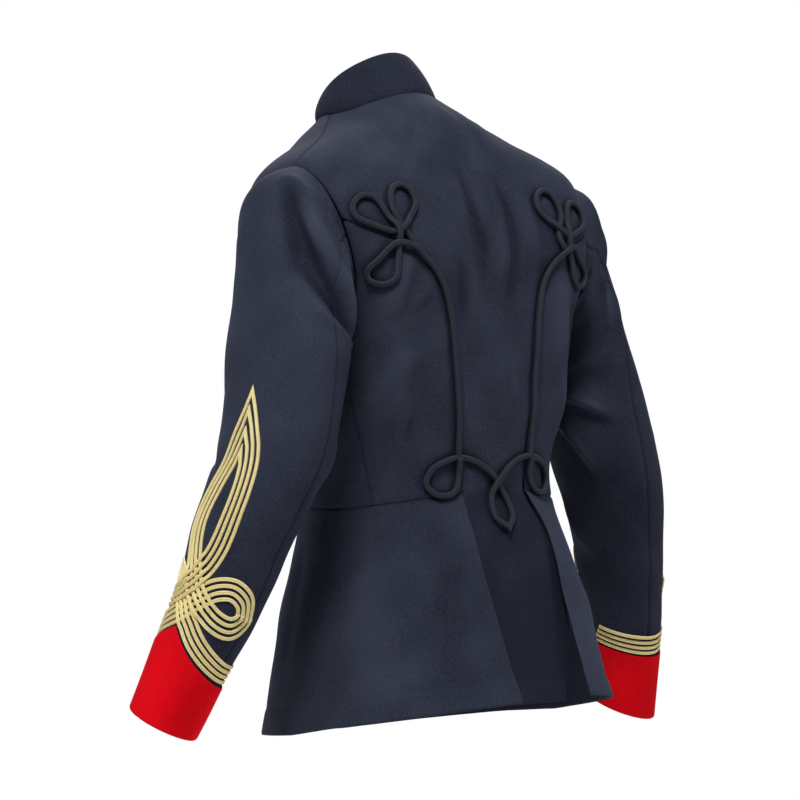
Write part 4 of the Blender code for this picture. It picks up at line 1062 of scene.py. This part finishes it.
class JACKET_OT_sleeves(Operator):
    """Builds the upper and under sleeves with the folds of the bent arms"""
    bl_idname = "jacket.sleeves"
    bl_label = "Sleeves"

    def execute(self, context):
        cloth = context.scene.jacket_cloth
        cap = 2 * CAP_FINE * crowd(2 * CAP_ROWS)[:CAP_ROWS]
        arm = np.linspace(ARM_FROM, SLEEVE_END - UNDER_CUFF, ROWS["sleeve"])
        downs = np.concatenate((cap, arm))[:, None]
        across = (crowd(COLUMNS["sleeve"]) + np.linspace(0, 1, COLUMNS["sleeve"])) / 2
        hind = seam_turn(HIND_SEAM, downs)
        fore = np.full(downs.shape, FORE_SEAM)
        for name, side in SIDES:
            for half, start, stop in (("upper", fore, hind), ("under", hind, fore + 360)):
                turns = start - SLEEVE_PASS + (stop - start + 2 * SLEEVE_PASS) * across[None, :]
                turns, rows = np.broadcast_arrays(turns, downs)
                pressed = 1 - PRESSED * bell(turns - SLEEVE_SOFT, SLEEVE_REACH)
                base = sleeve(name, turns, rows)
                outer, inner = edge_shape(base, ("seam", "free", "seam", "seam"), cloth, pressed)
                # painted shade in troughs and seams, painted light on ridges
                painted_shading = painted_fold_shading(sleeve_folds(name, turns, rows), SLEEVE_DEEP, outer, cloth)
                behind = ease((rows - FOREARM_FROM) / FOREARM_OVER) * ease((turns - HIND_FROM) / HIND_OVER)
                # painted shade on the back of the forearm
                piece = shell("sleeve_%s_%s_cloth" % (half, name), sleeve(name, turns, rows, outer),
                              sleeve(name, turns, rows, inner), navy_wool(), painted_shading + PAINTED_SHADE_AND_LIGHT["forearm"] * behind,
                              flip=side > 0)
                dress(piece, "sleeve_%s_%s" % (half, name))
        return {"FINISHED"}


class JACKET_OT_cuffs(Operator):
    """Builds the pointed scarlet cuffs round the sleeve ends"""
    bl_idname = "jacket.cuffs"
    bl_label = "Cuffs"

    def execute(self, context):
        cloth = context.scene.jacket_cloth
        for name, side in SIDES:
            around = np.arange(COLUMNS["cuff"]) * 360 / COLUMNS["cuff"]
            turns, share = np.meshgrid(around, crowd(ROWS["cuff"]))
            downs = SLEEVE_END - (cuff_top(turns) + CUFF_RISE[name]) * (1 - share)
            turns = turns + KNOT_TURN[name]
            outer, inner = edge_shape(sleeve(name, turns, downs), ("free",) * 4, cloth)
            lift = CUFF_GAP + cloth.thickness
            wave = CUFF_WAVE * np.sin(np.radians(turns) * CUFF_WAVES + CUFF_PHASE) * np.sin(share * CUFF_FALL)
            # painted shade and light along the cuff's waves, and painted shade on each cuff, most on the
            # right
            painted_shading = CUFF_WAVE_SHADE * wave + PAINTED_SHADE_AND_LIGHT["cuff_" + name]
            piece = shell("cuff_%s_cloth" % name, sleeve(name, turns, downs, outer + lift + wave),
                          sleeve(name, turns, downs, inner + lift), scarlet_wool(), painted_shading, closed=True,
                          flip=side > 0)
            dress(piece, "cuff_" + name)
        return {"FINISHED"}


# first guess of the back's depth and of the level at height 0, count and limits of the steps
SEEK_DEPTH, SEEK_LEVEL, SEEK_STEPS, SEEK_TURN, SEEK_RISE = 0.12, 0.672, 12, 8, 0.03


def on_back(across, height):
    """Turn and level of the back's point at a side distance and height, by Newton's steps."""
    turn = np.degrees(np.arctan2(across, SEEK_DEPTH))
    level = height + SEEK_LEVEL
    for _ in range(SEEK_STEPS):
        here = torso_form(turn, level)
        miss_x, miss_z = across - here[:, 0], height - here[:, 2]
        by_turn = (torso_form(turn + TURN_STEP, level) - here) / TURN_STEP
        by_level = (torso_form(turn, level + STEP) - here) / STEP
        det = by_turn[:, 0] * by_level[:, 2] - by_turn[:, 2] * by_level[:, 0]
        aside = (miss_x * by_level[:, 2] - miss_z * by_level[:, 0]) / det
        rise = (miss_z * by_turn[:, 0] - miss_x * by_turn[:, 2]) / det
        turn = turn + np.clip(aside, -SEEK_TURN, SEEK_TURN)
        level = level + np.clip(rise, -SEEK_RISE, SEEK_RISE)
    return turn, level


def self_laid(path, before, reach, rise):
    """Height of a cord that passes over what was laid before it and over its own earlier run."""
    height = np.zeros(len(path))
    behind = int(OWN_RUN / PATH_STEP)
    for start in range(0, len(path), LAY_BLOCK):
        stop = min(start + LAY_BLOCK, len(path))
        old = max(0, start - behind)
        laid = before + ([(path[:old], height[:old])] if old else [])
        height[start:stop] = need_over(path[start:stop], laid, reach, rise)
    return widen(height, int(CORD_RAMP / PATH_STEP))


def trefoil(shift):
    """Flat path of a trefoil and its stem: the cord's end, three loops that meet at their roots, the stem."""
    path = [np.array(CORD_END[0]), np.array(CORD_END[1]) + (shift, 0)]
    for across, height, heading, length, width in LOOPS.values():
        root = np.array((across + shift, height))
        along = np.array((math.cos(math.radians(heading)), math.sin(math.radians(heading))))
        aside = np.array((-along[1], along[0]))
        path += [root + along * length * a + aside * width * b for a, b in DROP] + [root]
    return curve_through(path + [np.array(point) for point in STEM], PATH_STEP)


class JACKET_OT_cord(Operator):
    """Lays the black cord: trefoils, back seams, waist loops and centre loop, in one length"""
    bl_idname = "jacket.cord"
    bl_label = "Back cord"

    def execute(self, context):
        radius = context.scene.jacket_trim.cord_radius
        reach, rise = 2 * radius, CORD_STACK * radius
        left, right, lower = cord_runs()
        left_low = self_laid(lower, [], reach, rise)
        right_low = self_laid(lower * (-1, 1), [(lower, left_low)], reach, rise)
        left_high, right_high = self_laid(left, [], reach, rise), self_laid(right, [], reach, rise)
        height = np.concatenate((left_high[:-1], left_low[::-1][:-1], right_low[:-1], right_high[::-1]))
        turn, level = cord_path()
        edge = seam_turn(SKIRT_EDGE["left"], np.minimum(level, WAIST))
        inside = np.abs(turn) < edge + TAIL_MARGIN
        drop = tail_drop(level) * inside
        foot = torso(turn, level, drop)
        normals = unit(torso(turn, level, drop + STEP) - foot)
        points = foot + normals * (CORD_SEAT * radius + height)[:, None]
        angle = np.arange(CORD_SIDES) / CORD_SIDES * 2 * np.pi
        furrow = 1 - FURROW_DEPTH * bell(angle - np.pi / 2, FURROW_WIDTH)
        profile = np.stack((radius * np.cos(angle), radius * CORD_TALL * np.sin(angle) * furrow), axis=-1)
        piece = sweep("back_cord_laid", points, normals, profile, black_cord())
        dress(piece, "back_cord")
        return {"FINISHED"}


def knot_rows(trim):
    """Flat paths of the braid rows, each both halves, with heights over the others and the tip's place."""
    middle = curve_through(KNOT, PATH_STEP)
    run = np.gradient(middle, axis=0)
    left = np.stack((-run[:, 1], run[:, 0]), axis=-1) / np.linalg.norm(run, axis=1)[:, None]
    turn_at = int(np.argmin(middle[:, 0]))
    front_end = KNOT_GAP - math.radians(KNOT_MEET) * girth_radius(SLEEVE_END - KNOT_FOOT)
    halves = []
    for number in range(BRAID_ROWS):
        path = middle + left * (number - (BRAID_ROWS - 1) / 2) * trim.braid_pitch
        at = np.arange(len(path))
        past = np.nonzero((at > turn_at + int(LOOP_PASSED / PATH_STEP)) & (path[:, 0] > AXIS_NEAR))[0][-1]
        after = np.nonzero((at > past) & (path[:, 0] <= 0))[0]
        if len(after):
            path = path[:after[0]]
        else:
            slope = (path[-1] - path[-1 - TIP_STEPS]) / TIP_STEPS
            steps = np.arange(1, int(path[-1, 0] / -slope[0]) + 2)[:, None]
            path = np.concatenate((path, path[-1] + slope * steps))
        path[-1, 0] = 0.0
        halves.append(path)
    laid, lifts = [], {}
    for part in range(2):
        for mirror in (-1, 1):
            fresh = []
            for number, path in enumerate(halves):
                piece = (path[:turn_at] if part == 0 else path[turn_at:]) * (mirror, 1)
                need = need_over(piece, laid, trim.braid_width, BRAID_STACK * trim.braid_thick)
                lifts[number, mirror, part] = widen(need, int(BRAID_RAMP / PATH_STEP))
                fresh.append((piece, lifts[number, mirror, part]))
            laid = laid + fresh
    rows = []
    for number, path in enumerate(halves):
        back = np.concatenate((lifts[number, 1, 0], lifts[number, 1, 1]))
        front = np.concatenate((lifts[number, -1, 0], lifts[number, -1, 1]))
        begin = int(np.argmax(-path[:, 0] > front_end))
        flat = np.concatenate((path, (path * (-1, 1))[begin:-1][::-1]))
        rows.append((flat, np.concatenate((back, front[begin:-1][::-1])), len(path) - 1))
    return rows


# points across the braid's top; lowest part and arch of its middle cord and of its two side cords
BRAID_POINTS, MIDDLE_LOW, MIDDLE_ARCH, SIDE_LOW, SIDE_ARCH = 11, 0.62, 0.38, 0.20, 0.80


class JACKET_OT_braid(Operator):
    """Lays the four rows of gold braid of the knot on each sleeve"""
    bl_idname = "jacket.braid"
    bl_label = "Sleeve braid"

    def execute(self, context):
        trim = context.scene.jacket_trim
        across = np.linspace(-1, 1, BRAID_POINTS)
        crown = np.sqrt(np.clip(1 - (2 * np.abs(across) - 1) ** 2, 0, 1))
        crown = np.where(np.abs(across) < 0.5, MIDDLE_LOW + MIDDLE_ARCH * crown, SIDE_LOW + SIDE_ARCH * crown)
        top = np.stack((across * trim.braid_width / 2, crown * trim.braid_thick), axis=-1)
        foot = np.array(((trim.braid_width / 2, 0.0), (-trim.braid_width / 2, 0.0)))
        profile = np.concatenate((top, foot))[::-1]
        for number, (flat, height, tip) in enumerate(knot_rows(trim), 1):
            clear = np.linalg.norm(flat - flat[tip], axis=1) > TIP_CLEAR
            clear[tip] = True
            for name, side in SIDES:
                downs = SLEEVE_END - flat[clear, 1] - CUFF_RISE[name]
                turns = KNOT_TURN[name] + np.degrees(flat[clear, 0] / girth_radius(downs))
                points = sleeve(name, turns, downs, BRAID_FOOT + height[clear])
                under = sleeve(name, turns, downs, height[clear] - BRAID_UNDER)
                normals = unit(points - under)
                piece = sweep("braid_%s_%d_laid" % (name, number), points[::side], normals[::side], profile,
                              gold_braid())
                dress(piece, "braid_%s_%d" % (name, number))
        return {"FINISHED"}


# name, turn from the camera, elevation, size, share of the main light's power
LIGHTS = (("key", -8.0, 56.0, 1.5, 0.80), ("left", -62.0, 34.0, 1.6, 0.28), ("right", 84.0, 30.0, 1.5, 0.28),
          ("front", 180.0, 40.0, 3.0, 0.7))
# inner and outer radius of the floor, its rings and spokes, its shade
FLOOR_HOLE, FLOOR_REACH, FLOOR_RINGS, FLOOR_SPOKES, FLOOR_SHADE = 0.02, 3.9, 12, 48, 0.86
WHITE = (1.0, 1.0, 1.0, 1.0)


def toward(azimuth, elevation):
    """Direction from the jacket to an azimuth, counted from its front, and an elevation."""
    return np.array((math.sin(azimuth) * math.cos(elevation), -math.cos(azimuth) * math.cos(elevation),
                     math.sin(elevation)))


def area_light(name, azimuth, elevation, size, power):
    """Square soft light at a direction round the jacket, aimed at its middle."""
    stage = bpy.context.scene.jacket_stage
    data = bpy.data.lights.new(name, "AREA")
    data.energy, data.size = power, size
    light = bpy.data.objects.new(name, data)
    back = toward(azimuth, elevation)
    aim(light, np.array(stage.target) + back * stage.reach, back)
    bpy.context.scene.collection.objects.link(light)


def aim(thing, place, back):
    """Puts a camera or light in its place, looking against the given direction."""
    thing.location = place.tolist()
    thing.rotation_mode = "QUATERNION"
    thing.rotation_quaternion = (-Vector(back.tolist())).to_track_quat("-Z", "Y")


class JACKET_OT_stage(Operator):
    """Sets the floor, the studio light and the camera"""
    bl_idname = "jacket.stage"
    bl_label = "Stage"

    def execute(self, context):
        scene = context.scene
        stage = scene.jacket_stage
        radius, angle = np.meshgrid(np.linspace(FLOOR_HOLE, FLOOR_REACH, FLOOR_RINGS),
                                    np.arange(FLOOR_SPOKES) / FLOOR_SPOKES * 2 * np.pi, indexing="ij")
        level = np.full(radius.shape, stage.floor)
        points = np.stack((radius * np.cos(angle), radius * np.sin(angle), level), -1)
        index = numbers(FLOOR_RINGS, FLOOR_SPOKES, True)
        faces = grid_faces(index)[:, ::-1].tolist() + [index[0, :-1].tolist()]
        paint = bpy.data.materials.new("Pale floor")
        paint.use_nodes = True
        shader = paint.node_tree.nodes["Principled BSDF"]
        shader.inputs["Base Color"].default_value = (FLOOR_SHADE, FLOOR_SHADE, FLOOR_SHADE, 1.0)
        shader.inputs["Roughness"].default_value = 0.8
        floor = add_object("floor", points.reshape(-1, 3), faces, paint)

        world = bpy.data.worlds.new("Studio")
        scene.world = world
        world.use_nodes = True
        tree = world.node_tree
        soft = tree.nodes["Background"]
        soft.inputs["Color"].default_value = WHITE
        soft.inputs["Strength"].default_value = stage.sky
        seen = tree.nodes.new("ShaderNodeBackground")
        seen.inputs["Strength"].default_value = 1.0
        seen.inputs["Color"].default_value = WHITE
        path = tree.nodes.new("ShaderNodeLightPath")
        mix = tree.nodes.new("ShaderNodeMixShader")
        tree.links.new(path.outputs["Is Camera Ray"], mix.inputs[0])
        tree.links.new(soft.outputs[0], mix.inputs[1])
        tree.links.new(seen.outputs[0], mix.inputs[2])
        tree.links.new(mix.outputs[0], tree.nodes["World Output"].inputs["Surface"])
        scene.view_settings.view_transform = "Standard"

        for name, turn, rise, size, power in LIGHTS:
            azimuth = stage.azimuth + math.radians(turn)
            area_light(name, azimuth, math.radians(rise), size, power * stage.light)

        data = bpy.data.cameras.new("camera")
        data.lens = stage.lens
        data.sensor_width = 36.0
        data.clip_end = 50.0
        camera = bpy.data.objects.new("camera", data)
        back = toward(stage.azimuth, stage.elevation)
        aim(camera, np.array(stage.target) + back * stage.distance, back)
        scene.collection.objects.link(camera)
        scene.camera = camera
        return {"FINISHED"}


STEPS = (JACKET_OT_stage, JACKET_OT_back, JACKET_OT_bodies, JACKET_OT_skirts, JACKET_OT_collar,
         JACKET_OT_sleeves, JACKET_OT_cuffs, JACKET_OT_cord, JACKET_OT_braid)
GROUPS = (("jacket_cloth", ClothSettings), ("jacket_trim", TrimSettings), ("jacket_colours", ColourSettings),
          ("jacket_stage", StageSettings))


class JACKET_PT_panel(Panel):
    """Lists the jacket's steps and settings"""
    bl_idname = "JACKET_PT_panel"
    bl_label = "Hussar Jacket"
    bl_space_type = "VIEW_3D"
    bl_region_type = "UI"
    bl_category = "Jacket"

    def draw(self, context):
        for step in STEPS:
            self.layout.operator(step.bl_idname)
        for name, kind in GROUPS:
            box = self.layout.box()
            for prop in kind.__annotations__:
                box.prop(getattr(context.scene, name), prop)


def register():
    """Registers the settings, the steps and the panel."""
    for name, kind in GROUPS:
        bpy.utils.register_class(kind)
        setattr(bpy.types.Scene, name, PointerProperty(type=kind))
    for kind in (*STEPS, JACKET_PT_panel):
        bpy.utils.register_class(kind)


def unregister():
    """Takes them out again."""
    for kind in (JACKET_PT_panel, *reversed(STEPS)):
        bpy.utils.unregister_class(kind)
    for name, kind in reversed(GROUPS):
        delattr(bpy.types.Scene, name)
        bpy.utils.unregister_class(kind)


def main():
    """Registers the settings, the steps and the panel, then runs every step in order."""
    register()
    for step in STEPS:
        group, name = step.bl_idname.split(".")
        getattr(getattr(bpy.ops, group), name)()


if __name__ == "__main__":
    main()
